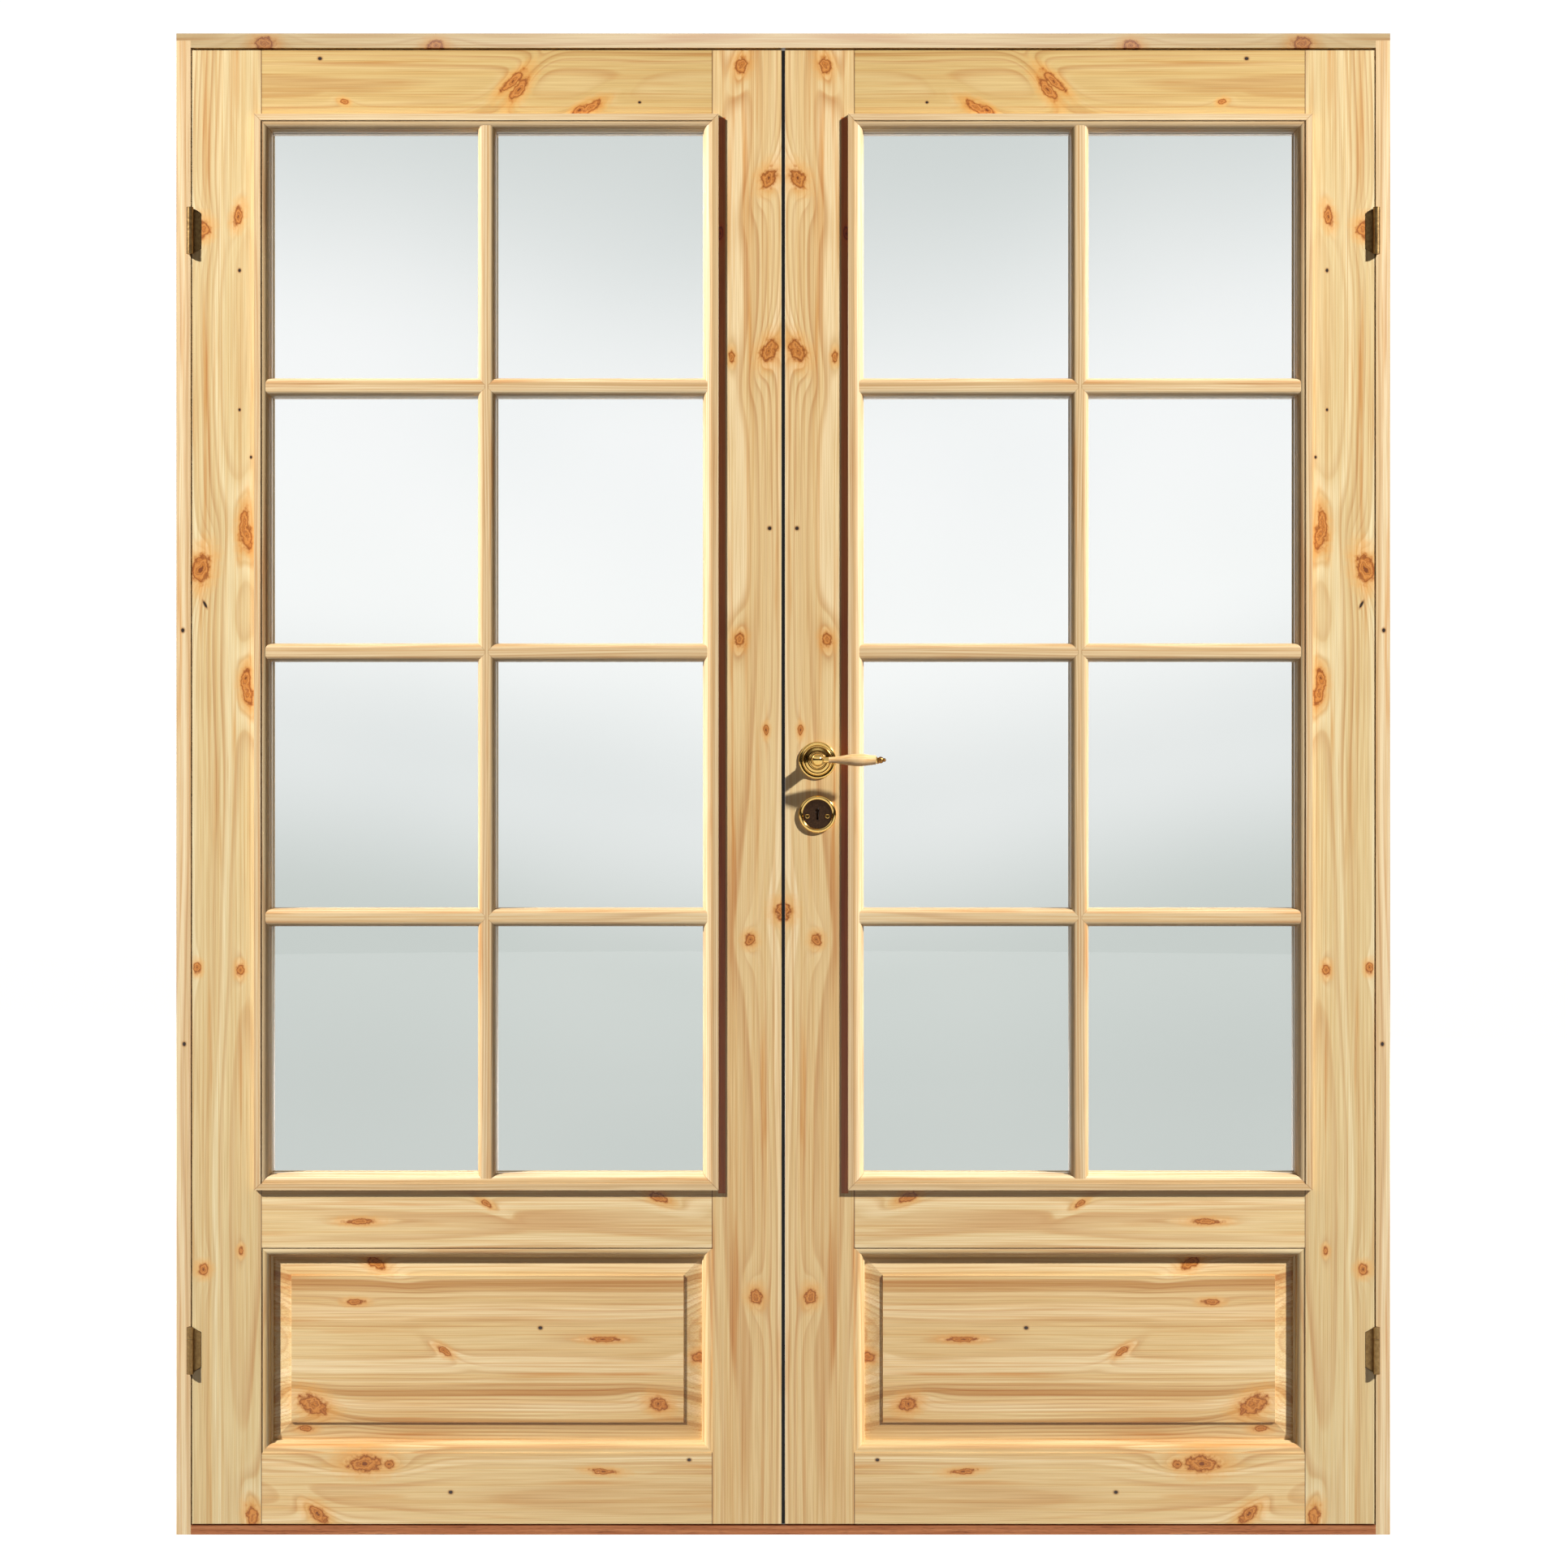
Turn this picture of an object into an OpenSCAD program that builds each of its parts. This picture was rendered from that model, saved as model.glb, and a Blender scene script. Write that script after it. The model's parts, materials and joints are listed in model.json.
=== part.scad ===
// Pair of glazed pine doors, hung in their own frame.
// The frame stands on z = 0. Its front is at -Y, and x = 0 is where the two leaves meet.

/* [Frame] */
// Overall width of the frame
frame_w = 1690; // [1400:1:2100]
// Overall height of the frame
frame_h = 2090; // [1750:1:2520]
// Depth of the frame from front to back
frame_d = 92; // [78:1:120]
// Thickness of jambs and head beside a closed leaf
face_w = 20; // [18:0.5:26]
// Extra thickness behind a leaf, which stops it
stop_w = 12; // [8:0.5:16]
// How far the head laps down over the ends of the jambs from the top
head_lap = 10; // [8:0.5:14]
// Height of the threshold under the leaves
sill_h = 12; // [10:0.5:18]
// Height of the threshold behind the leaves
sill_stop_h = 25; // [21:0.5:32]
// Thickness of the sealing strip in front of the stops
seal_t = 2.7; // [1.5:0.1:4]
// Width of the sealing strip
seal_w = 6; // [4:0.5:8]

/* [Gaps round the leaves] */
// Gap between a leaf and its jamb
gap_side = 2; // [1.5:0.1:3.5]
// Gap between the two leaves
gap_meet = 5; // [4.5:0.1:7]
// Gap above a leaf
gap_top = 3.5; // [2.5:0.1:5]
// Gap below a leaf
gap_bottom = 3; // [2.5:0.1:5]
// Gap between a closed leaf and the sealing strip
gap_seal = 0.3; // [0.2:0.1:0.6]

/* [Leaves] */
// Thickness of a leaf
leaf_t = 40; // [36:0.5:46]
// Width of the stiles
stile_w = 96; // [90:0.5:125]
// Height of the top rail
top_rail_h = 98.5; // [70:0.5:130]
// Height of the middle rail
mid_rail_h = 89.5; // [70:0.5:130]
// Height of the bottom rail
bottom_rail_h = 98.5; // [70:0.5:160]
// Clear height of the panel opening
panel_open_h = 286; // [230:1:420]
// Radius of the dowels in the joints
dowel_r = 8; // [5:0.5:9]
// Length of a dowel
dowel_l = 110; // [80:1:130]
// Distance of the two dowels of a joint from its middle
dowel_pitch = 25; // [20:0.5:26]

/* [Panel] */
// Width of the moulded edge round the panel
stick_w = 15; // [13:0.5:20]
// Depth of the moulded edge at its inner side
stick_d = 11.5; // [9.5:0.5:12.5]
// Width of the groove that holds the panel
groove_w = 8; // [6:0.5:9]
// Depth of that groove
groove_d = 10; // [8:0.5:12]
// Room that the panel has at the bottom of the groove
panel_float = 2; // [1:0.5:3]
// Width of the sloping margin of the panel
margin_w = 25; // [18:0.5:40]
// Rise of the sloping margin
margin_rise = 4; // [2:0.5:5]
// Step up from the margin to the raised field
field_step = 2.5; // [1:0.5:3]

/* [Glazing] */
// Thickness of the glass
glass_t = 4; // [3:0.5:8]
// Gap between the edge of the glass and the wood
glass_gap = 2; // [1:0.5:3]
// How far a bead reaches into the opening
bead_in = 13.5; // [12:0.5:18]
// How far a bead laps over the stiles and rails
bead_lap = 8.5; // [6:0.5:12]
// How far a bead stands in front of the leaf
bead_proud = 8; // [7.5:0.5:12]
// Radius of the rounded slope of a bead
bead_r = 11; // [9:0.5:11]
// Number of panes side by side
pane_cols = 2; // [1:1:3]
// Number of panes above each other
pane_rows = 4; // [2:1:6]
// Width of a glazing bar at the glass
bar_w = 25; // [20:0.5:32]
// Width of the flat top of a glazing bar
bar_top_w = 9.5; // [6:0.5:12]
// How far a glazing bar stands in front of the leaf
bar_proud = 5; // [2:0.5:5.5]

/* [Hinges] */
// Distance from the top of a leaf to the middle of its upper hinge
hinge_from_top = 252; // [150:1:300]
// Distance from the bottom of a leaf to the middle of its lower hinge
hinge_from_bottom = 242; // [150:1:300]
// Height of a hinge
hinge_h = 65; // [54:1:90]
// Radius of the knuckles
knuckle_r = 4.75; // [4.5:0.05:4.9]
// Height of the upper knuckle, which lifts off
lift_h = 16; // [12:0.5:24]
// Radius of the hinge pin
pin_r = 3; // [2.5:0.1:3.4]
// Distance of the hinge axis in front of the leaves
axis_out = 5; // [5:0.1:6]
// Thickness of the hinge plates
plate_t = 2.5; // [2:0.1:3]
// Depth of the hinge plates in the wood
plate_d = 28; // [22:1:34]
// Width of the notch in the face of the leaf
notch_w = 13; // [10:0.5:16]
// Depth of that notch
notch_d = 5; // [4:0.5:7]

/* [Handle and lock] */
// Height of the lever handle above the floor
handle_z = 1078; // [940:1:1200]
// Distance of the handle from the meeting edge of its leaf
backset = 45; // [40:0.5:55]
// Distance from the handle down to the keyhole
key_drop = 75; // [62:1:90]
// Radius of the roses
rose_r = 26; // [22:0.5:28]
// Height of the roses
rose_h = 9; // [6:0.5:12]
// Radius of the turning shank of a lever
shank_r = 8; // [7:0.1:9]
// Distance from the leaf to the middle of the lever
lever_out = 46; // [38:0.5:60]
// Length of the wooden grip
grip_l = 65; // [50:0.5:90]
// Largest radius of the grip
grip_r = 8.75; // [7:0.05:11]
// Distance from the axis of the handle to the start of the grip
grip_start = 15; // [14:0.5:22]
// Side of the square spindle
spindle_s = 8; // [7:0.5:9]
// Radius of the follower that turns in the lock
follower_r = 9; // [8:0.5:11]
// Width of the lock case
case_w = 72.5; // [65:0.5:85]
// Thickness of the lock case
case_t = 16; // [14:0.5:18]
// Height of the lock case
case_h = 160; // [140:1:180]
// Length of the lock's front plate
face_l = 200; // [190:1:240]
// Width of the plates in the meeting edges
face_plate_w = 20; // [18:0.5:22]
// Thickness of the plates in the meeting edges
face_plate_t = 3; // [2:0.1:3.5]
// Throw of the latch bolt
latch_throw = 12; // [10:0.5:12]
// Throw of the dead bolt
dead_throw = 14; // [10:0.5:16]

/* [Bolts of the passive leaf] */
// Throw of the upper bolt
upper_throw = 14; // [8:0.5:14]
// Throw of the lower bolt
lower_throw = 11; // [6:0.5:11]
// Radius of the bolts
bolt_r = 4; // [3:0.1:5]
// Length of the bolts
bolt_l = 170; // [150:1:240]
// Distance of the bolts from the meeting edge
bolt_in = 10; // [9:0.5:14]

/* [Clearances] */
// Play of turning and sliding metal parts
run = 0.05; // [0.02:0.01:0.1]
// Play of pieces that are let in or slipped in
fit = 0.2; // [0.1:0.05:0.4]
// Gap between parts that pass each other
pass = 0.3; // [0.2:0.05:0.6]

/* [Hidden] */
$fn = 48;

eps = 1;                                  // how far a cutting shape runs past a face
pine = [0.88, 0.76, 0.54];
pale_pine = [0.91, 0.80, 0.62];
hardwood = [0.52, 0.27, 0.14];
brass = [0.80, 0.66, 0.32];
steel = [0.70, 0.70, 0.68];
plated = [0.72, 0.62, 0.36];
black = [0.06, 0.06, 0.06];
clear_glass = [0.80, 0.86, 0.86];

// Frame
front_y = -frame_d / 2;
back_y = frame_d / 2;
half_w = frame_w / 2;
jamb_x = half_w - face_w;                 // face of the jamb beside the leaf
stop_x = jamb_x - stop_w;                 // face of the jamb behind the leaf
stop_y = front_y + leaf_t + gap_seal + seal_t;
head_z = frame_h - face_w;                // underside of the head above the leaf
jamb_top = frame_h - head_lap;

// Leaf on the right; the left leaf is its mirror image
leaf_x0 = gap_meet / 2;
leaf_x1 = jamb_x - gap_side;
leaf_y0 = front_y;
leaf_y1 = front_y + leaf_t;
mid_y = front_y + leaf_t / 2;
leaf_z0 = sill_h + gap_bottom;
leaf_z1 = head_z - gap_top;
in_x0 = leaf_x0 + stile_w;                // inner edges of the two stiles
in_x1 = leaf_x1 - stile_w;
panel_z0 = leaf_z0 + bottom_rail_h;
panel_z1 = panel_z0 + panel_open_h;
glaze_z0 = panel_z1 + mid_rail_h;
glaze_z1 = leaf_z1 - top_rail_h;
dowel_zs = [
  (leaf_z0 + panel_z0) / 2, (panel_z1 + glaze_z0) / 2, (glaze_z1 + leaf_z1) / 2
];

// Hinges
axis_x = jamb_x;
axis_y = front_y - axis_out;
upper_hinge_z = leaf_z1 - hinge_from_top;
lower_hinge_z = leaf_z0 + hinge_from_bottom;
hinge_zs = [upper_hinge_z, lower_hinge_z];
plate_screw_pitch = hinge_h * 0.34;
screw_r = 2;
leaf_screw_l = 22;
jamb_screw_l = face_w - 4;
screw_head_r = 3.8;

// Lock
spindle_x = leaf_x0 + backset;
key_z = handle_z - key_drop;
latch_z = handle_z + 24;
dead_z = key_z + 22;
case_z0 = handle_z - 105;
face_z0 = case_z0 - (face_l - case_h) / 2;
latch_w = 10;
latch_h = 20;
latch_tail = 33;
dead_w = 8;
dead_h = 22;
dead_tail = 38;
strike_l = 130;
strike_z0 = (latch_z + dead_z - strike_l) / 2;
strike_t = 2.5;
strike_pocket = 14;
key_w = 3.2;
key_r = 3;
key_h = 16;
escutcheon_screw_x = 14;
escutcheon_screw_z = -3;
through_screw_r = 2;
through_head_r = 3.2;
through_head_h = 1.6;
rim_w = 6;
dish_h = 2;
ball_r = 9;
neck_r = 3.9;
rod_r = 2.4;
grip_end_r = 6.4;
finial_l = 14;

// Flush bolts of the passive leaf
bolt_x = leaf_x0 + bolt_in;
knob_h = 16;
knob_w = 6;
knob_down = 120;
bolt_plate_l = 190;
keep_l = 30;
keep_t = 2;
keep_depth = 1.5;                         // room beyond the end of a thrown bolt
keep_play = 1;                            // room round a thrown bolt

// Fixings
fixing_r = 4;
fixing_y = mid_y;
fixing_from_end = 150;
fixing_zs = [
  fixing_from_end, frame_h * 0.36, frame_h * 0.66, frame_h - fixing_from_end
];
corner_screw_r = 2.5;
corner_screw_l = 50;

// Meeting seal
meet_seal_y = front_y + 6.5;
meet_seal_out = 3.2;
meet_seal_r = 1.5;
meet_seal_root = 3.2;
meet_seal_root_w = 2;

// ---------------------------------------------------------------- helpers

function arc(cx, cy, r, from, to, steps) =
  [for (i = [0:steps]) let (a = from + (to - from) * i / steps) [cx + r * cos(a), cy + r * sin(a)]];

function flipped(points) = [for (i = [len(points) - 1:-1:0]) points[i]];

module block(x0, x1, y0, y1, z0, z1) {
  translate([x0, y0, z0]) cube([x1 - x0, y1 - y0, z1 - z0]);
}

// A profile of [y, z] points, drawn out along X
module along_x(x0, x1) {
  translate([x0, 0, 0]) rotate([90, 0, 90]) linear_extrude(x1 - x0) children();
}

// A profile of [x, z] points, drawn out along Y
module along_y(y0, y1) {
  translate([0, y1, 0]) rotate([90, 0, 0]) linear_extrude(y1 - y0) children();
}

// A profile of [x, y] points, drawn out along Z
module along_z(z0, z1) {
  translate([0, 0, z0]) linear_extrude(z1 - z0) children();
}

module rod_x(x0, x1, r) {
  translate([x0, 0, 0]) rotate([0, 90, 0]) cylinder(h = x1 - x0, r = r);
}

module rod_y(y0, y1, r) {
  translate([0, y1, 0]) rotate([90, 0, 0]) cylinder(h = y1 - y0, r = r);
}

module rod_z(z0, z1, r) {
  translate([0, 0, z0]) cylinder(h = z1 - z0, r = r);
}

// side is 1 on the right and -1 on the left
module on_side(side) {
  if (side > 0) children();
  else mirror([1, 0, 0]) children();
}

// Everything behind the middle of the leaf mirrors what is in front of it
module on_face(face) {
  if (face < 0) children();
  else translate([0, 2 * mid_y, 0]) mirror([0, 1, 0]) children();
}

// ---------------------------------------------------------------- frame

module jamb_blank(side) {
  on_side(side) block(jamb_x, half_w, front_y, back_y, 0, jamb_top);
}

module jamb(side) {
  color(pale_pine) difference() {
    jamb_blank(side);
    on_side(side) {
      for (z = hinge_zs) jamb_plate(z, fit);
      for (z = hinge_zs) plate_screws(z, jamb_x, 1, run);
      for (z = fixing_zs)
        translate([0, fixing_y, z]) rod_x(jamb_x - eps, half_w + eps, fixing_r);
    }
    corner_screws(run);
  }
}

// The strip glued behind the edge of a leaf, from the threshold stop up to the head stop
module jamb_stop(side) {
  color(pale_pine) on_side(side)
    block(stop_x, jamb_x, stop_y, back_y, sill_stop_h, head_z - stop_w);
}

module frame_head() {
  color(pale_pine) difference() {
    block(-half_w, half_w, front_y, back_y, head_z, frame_h);
    for (side = [-1, 1]) jamb_blank(side);
    corner_screws(run);
    keep_recess(head_z, 1);
    keep_hole(head_z - eps, leaf_z1 - pass + upper_throw + keep_depth);
  }
}

// The strip glued under the head, behind the top edges of the leaves
module head_stop() {
  color(pale_pine) block(-jamb_x, jamb_x, stop_y, back_y, head_z - stop_w, head_z);
}

module threshold() {
  color(hardwood) difference() {
    block(-jamb_x, jamb_x, front_y, back_y, 0, sill_h);
    corner_screws(run);
    keep_recess(sill_h, -1);
    keep_hole(leaf_z0 + pass - lower_throw - keep_depth, sill_h + eps);
  }
}

// The strip glued on the threshold, behind the bottom edges of the leaves
module threshold_stop() {
  color(hardwood) block(-jamb_x, jamb_x, stop_y, back_y, sill_h, sill_stop_h);
}

// Two screws down through the head into each jamb, and two through each jamb into the threshold
module corner_screws(play) {
  for (side = [-1, 1]) on_side(side) {
    for (y = [mid_y, back_y / 2])
      translate([jamb_x + face_w / 2, y, 0])
        rod_z(frame_h - corner_screw_l, frame_h - pass, corner_screw_r + play);
    for (y = [mid_y, back_y / 2])
      translate([0, y, sill_h / 2])
        rod_x(half_w - corner_screw_l, half_w - pass, corner_screw_r + play);
  }
}

module frame_screws() {
  color(steel) {
    corner_screws(0);
    for (side = [-1, 1]) on_side(side)
      for (z = hinge_zs) plate_screws(z, jamb_x, 1, 0);
  }
}

// A ring of sealing strip in front of the stops
module frame_seal() {
  outer_x = jamb_x - 3;
  low = sill_stop_h - 8;
  high = head_z - 4;
  color(black) difference() {
    block(-outer_x, outer_x, stop_y - seal_t, stop_y, low, high);
    block(seal_w - outer_x, outer_x - seal_w, stop_y - seal_t - eps, stop_y + eps,
          low + seal_w, high - seal_w);
  }
}

// The square hole that takes a flush bolt
module keep_hole(z0, z1) {
  block(-bolt_x - bolt_r - keep_play, -bolt_x + bolt_r + keep_play,
        mid_y - bolt_r - keep_play, mid_y + bolt_r + keep_play, z0, z1);
}

// The plates that take the flush bolts
module keep_recess(z, up) {
  z_in = z + up * keep_t;
  block(-bolt_x - keep_l / 2 - fit, -bolt_x + keep_l / 2 + fit,
        mid_y - face_plate_w / 2 - fit, mid_y + face_plate_w / 2 + fit,
        min(z - up * eps, z_in), max(z - up * eps, z_in));
}

module keep_plate(z, up) {
  color(steel) difference() {
    block(-bolt_x - keep_l / 2, -bolt_x + keep_l / 2,
          mid_y - face_plate_w / 2, mid_y + face_plate_w / 2,
          min(z, z + up * keep_t), max(z, z + up * keep_t));
    keep_hole(z - keep_t - eps, z + keep_t + eps);
  }
}

// ---------------------------------------------------------------- hinges, right side

module jamb_plate(z, play) {
  block(axis_x - (play > 0 ? eps : 0), axis_x + plate_t, front_y - (play > 0 ? eps : 0),
        front_y + plate_d + play, z - hinge_h / 2 - play, z + hinge_h / 2 + play);
}

module jamb_hinge(side, z) {
  low_top = z + hinge_h / 2 - lift_h - pass;
  color(plated) on_side(side) difference() {
    union() {
      translate([axis_x, axis_y, 0]) {
        rod_z(z - hinge_h / 2, low_top, knuckle_r);
        rod_z(low_top - eps, z + hinge_h / 2 - plate_t - pass, pin_r);
      }
      block(axis_x, axis_x + plate_t, axis_y, front_y + eps, z - hinge_h / 2, low_top);
      jamb_plate(z, 0);
    }
    plate_screws(z, jamb_x, 1, run);
  }
}

module leaf_plate(z, play) {
  cut = play > 0 ? eps : 0;
  block(leaf_x1 - plate_t, leaf_x1 + cut, leaf_y0 - cut, leaf_y0 + plate_d + play,
        z - hinge_h / 2 + 2 - play, z + hinge_h / 2 - 2 + play);
}

// The notch in the face of the leaf, with its two sloping ends
module face_notch(z, y0, inset) {
  tall = hinge_h / 2 - inset;
  slope = notch_w * 0.6;
  along_y(y0, leaf_y0 + notch_d) polygon([
    [leaf_x1 + eps - inset, z - tall], [leaf_x1 + eps - inset, z + tall],
    [leaf_x1 - notch_w + inset, z + tall - slope], [leaf_x1 - notch_w + inset, z - tall + slope]
  ]);
}

module leaf_hinge(side, z) {
  top = z + hinge_h / 2;
  color(plated) on_side(side) difference() {
    union() {
      translate([axis_x, axis_y, 0]) rod_z(top - lift_h, top, knuckle_r);
      block(leaf_x1 - plate_t, leaf_x1, axis_y, leaf_y0 + eps, top - lift_h, top - 2);
      leaf_plate(z, 0);
      face_notch(z, leaf_y0 + notch_d - plate_t, eps);
    }
    translate([axis_x, axis_y, 0]) rod_z(top - lift_h - eps, top - plate_t, pin_r + run);
    plate_screws(z, leaf_x1, -1, run);
  }
}

// Countersunk screws through a hinge plate: way is +1 into the jamb and -1 into the leaf
module plate_screws(z, x, way, play) {
  for (i = [-1, 0, 1])
    translate([x, front_y + plate_d * 0.62, z + i * plate_screw_pitch])
      rotate([0, way * 90, 0]) {
        translate([0, 0, 0.1])
          cylinder(h = way > 0 ? jamb_screw_l : leaf_screw_l, r = screw_r + play);
        translate([0, 0, 0.1])
          cylinder(h = plate_t - 0.6, r1 = screw_head_r + play, r2 = screw_r + play);
      }
}

// ---------------------------------------------------------------- leaves, right side

// Moulded edge of the panel opening: [distance in from the edge, depth below the face]
quirk_d = 1.5;
stick_r = stick_d - quirk_d - 1.5;
stick_profile = concat(
  [[0, -eps], [0, quirk_d]],
  [for (p = arc(stick_w - 2.5 - stick_r, quirk_d + stick_r, stick_r, -90, 0, 8)) p],
  [[stick_w - 1, stick_d - 1], [stick_w, stick_d]]
);

// Room inside the moulded edge, across one direction, as [across, y] points
function stick_room(a, b) = concat(
  [for (p = stick_profile) [a + p[0], leaf_y0 + p[1]]],
  [for (p = flipped(stick_profile)) [a + p[0], leaf_y1 - p[1]]],
  [for (p = stick_profile) [b - p[0], leaf_y1 - p[1]]],
  [for (p = flipped(stick_profile)) [b - p[0], leaf_y0 + p[1]]]
);

function swapped(points) = [for (p = points) [p[1], p[0]]];

module panel_room() {
  inset = stick_w - groove_d;
  intersection() {
    along_z(panel_z0 - eps, panel_z1 + eps) polygon(stick_room(in_x0, in_x1));
    along_x(in_x0 - eps, in_x1 + eps) polygon(swapped(stick_room(panel_z0, panel_z1)));
  }
  block(in_x0 + inset, in_x1 - inset, mid_y - groove_w / 2, mid_y + groove_w / 2,
        panel_z0 + inset, panel_z1 - inset);
}

// The moulded lip that a stile or rail carries along the panel, mitred at both ends
module stile_lip(x, way) {
  along_y(leaf_y0, leaf_y1) polygon([
    [x - way, panel_z0], [x, panel_z0], [x + way * stick_w, panel_z0 + stick_w],
    [x + way * stick_w, panel_z1 - stick_w], [x, panel_z1], [x - way, panel_z1]
  ]);
}

module rail_lip(z, way) {
  along_y(leaf_y0, leaf_y1) polygon([
    [in_x0, z - way], [in_x0, z], [in_x0 + stick_w, z + way * stick_w],
    [in_x1 - stick_w, z + way * stick_w], [in_x1, z], [in_x1, z - way]
  ]);
}

module dowels_at(x, play) {
  for (z = dowel_zs)
    for (i = [-1, 1])
      translate([0, mid_y, z + i * dowel_pitch])
        rod_x(x - dowel_l / 2 - play, x + dowel_l / 2 + play, dowel_r + play);
}

module dowels(side) {
  color(pine) on_side(side) {
    dowels_at(in_x0, 0);
    dowels_at(in_x1, 0);
  }
}

module hinge_stile(side) {
  color(pine) on_side(side) difference() {
    union() {
      block(in_x1, leaf_x1, leaf_y0, leaf_y1, leaf_z0, leaf_z1);
      stile_lip(in_x1, -1);
    }
    panel_room();
    dowels_at(in_x1, run);
    for (z = hinge_zs) {
      leaf_plate(z, fit);
      face_notch(z, leaf_y0 - eps, 0);
      plate_screws(z, leaf_x1, -1, run);
    }
  }
}

module meeting_stile_blank() {
  difference() {
    union() {
      block(leaf_x0, in_x0, leaf_y0, leaf_y1, leaf_z0, leaf_z1);
      stile_lip(in_x0, 1);
    }
    panel_room();
    dowels_at(in_x0, run);
  }
}

module right_meeting_stile() {
  color(pine) difference() {
    meeting_stile_blank();
    lock_mortise();
    translate([spindle_x, 0, handle_z]) rod_y(leaf_y0 - eps, leaf_y1 + eps, shank_r + 1);
    key_slot(leaf_y0 - eps, leaf_y1 + eps, 1);
    through_screws(run, 0);
  }
}

module left_meeting_stile() {
  color(pine) mirror([1, 0, 0]) difference() {
    meeting_stile_blank();
    block(leaf_x0 - eps, leaf_x0 + strike_t, mid_y - face_plate_w / 2 - fit,
          mid_y + face_plate_w / 2 + fit, strike_z0 - fit, strike_z0 + strike_l + fit);
    for (p = [[latch_z, latch_h], [dead_z, dead_h]])
      block(leaf_x0 - eps, leaf_x0 + strike_pocket, mid_y - latch_w / 2 - 2,
            mid_y + latch_w / 2 + 2, p[0] - p[1] / 2 - 2, p[0] + p[1] / 2 + 2);
    for (end = [1, -1]) flush_bolt_room(end);
    block(leaf_x0 - eps, leaf_x0 + meet_seal_root + fit,
          meet_seal_y - meet_seal_root_w / 2, meet_seal_y + meet_seal_root_w / 2,
          leaf_z0 - eps, leaf_z1 + eps);
  }
}

module top_rail(side) {
  color(pine) on_side(side) difference() {
    block(in_x0, in_x1, leaf_y0, leaf_y1, glaze_z1, leaf_z1);
    dowels_at(in_x0, run);
    dowels_at(in_x1, run);
  }
}

module mid_rail(side) {
  color(pine) on_side(side) difference() {
    union() {
      block(in_x0, in_x1, leaf_y0, leaf_y1, panel_z1, glaze_z0);
      rail_lip(panel_z1, -1);
    }
    panel_room();
    dowels_at(in_x0, run);
    dowels_at(in_x1, run);
  }
}

module bottom_rail(side) {
  color(pine) on_side(side) difference() {
    union() {
      block(in_x0, in_x1, leaf_y0, leaf_y1, leaf_z0, panel_z0);
      rail_lip(panel_z0, 1);
    }
    panel_room();
    dowels_at(in_x0, run);
    dowels_at(in_x1, run);
  }
}

// Section of the panel across one direction: tongue, sloping margin, step and raised field
function panel_section(a, b) =
  let (
    edge = stick_w - groove_d + panel_float,
    tongue = groove_w / 2 - fit,
    rise = tongue + margin_rise,
    field = rise + field_step,
    half = [
      [edge, tongue], [stick_w, tongue], [stick_w + margin_w, rise],
      [stick_w + margin_w + 0.6, field]
    ]
  )
  concat(
    [for (p = half) [a + p[0], mid_y - p[1]]],
    [for (p = flipped(half)) [b - p[0], mid_y - p[1]]],
    [for (p = half) [b - p[0], mid_y + p[1]]],
    [for (p = flipped(half)) [a + p[0], mid_y + p[1]]]
  );

module panel(side) {
  color(pine) on_side(side) intersection() {
    along_z(panel_z0, panel_z1) polygon(panel_section(in_x0, in_x1));
    along_x(in_x0, in_x1) polygon(swapped(panel_section(panel_z0, panel_z1)));
  }
}

module glass(side) {
  color(clear_glass) on_side(side)
    block(in_x0 + glass_gap, in_x1 - glass_gap, mid_y - glass_t / 2, mid_y + glass_t / 2,
          glaze_z0 + glass_gap, glaze_z1 - glass_gap);
}

// Bead: [distance in from the edge of the opening, height above the face of the leaf]
glass_below = leaf_t / 2 - glass_t / 2;
quirk_h = bead_proud - 1.5;
bead_profile = concat(
  [[0.5, bead_proud + eps], [0.5, quirk_h]],
  arc(bead_in - 1 - bead_r, quirk_h - bead_r, bead_r, 90, 0, 9),
  [[bead_in, quirk_h - bead_r - 1.5], [bead_in, -glass_below - eps]]
);

function bead_room(a, b) = concat(
  [for (p = bead_profile) [a + p[0], leaf_y0 - p[1]]],
  [for (p = flipped(bead_profile)) [b - p[0], leaf_y0 - p[1]]]
);

module bead_ring() {
  difference() {
    union() {
      block(in_x0 + fit, in_x1 - fit, leaf_y0 - eps, mid_y - glass_t / 2,
            glaze_z0 + fit, glaze_z1 - fit);
      block(in_x0 - bead_lap, in_x1 + bead_lap, leaf_y0 - bead_proud, leaf_y0,
            glaze_z0 - bead_lap, glaze_z1 + bead_lap);
    }
    intersection() {
      along_z(glaze_z0 - eps, glaze_z1 + eps) polygon(bead_room(in_x0, in_x1));
      along_x(in_x0 - eps, in_x1 + eps) polygon(swapped(bead_room(glaze_z0, glaze_z1)));
    }
  }
}

module beads(side, face) {
  color(pine) on_side(side) on_face(face) bead_ring();
}

// Half of a glazing bar: [distance from its middle, height above the face of the leaf]
bar_r = (bar_w - bar_top_w) / 2 - 0.5;
bar_half = concat(
  arc(bar_top_w / 2, bar_proud - bar_r, bar_r, 90, 0, 7),
  [[bar_w / 2, bar_proud - bar_r - 1], [bar_w / 2, -glass_below]]
);

function bar_section(middle) = concat(
  [for (p = flipped(bar_half)) [middle - p[0], leaf_y0 - p[1]]],
  [for (p = bar_half) [middle + p[0], leaf_y0 - p[1]]]
);

// Middles of the bars that divide the sight size a to b into equal panes
function bar_middles(a, b, count) =
  let (pane = (b - a - (count - 1) * bar_w) / count)
  [for (i = [1:1:count - 1]) a + i * (pane + bar_w) - bar_w / 2];

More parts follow.
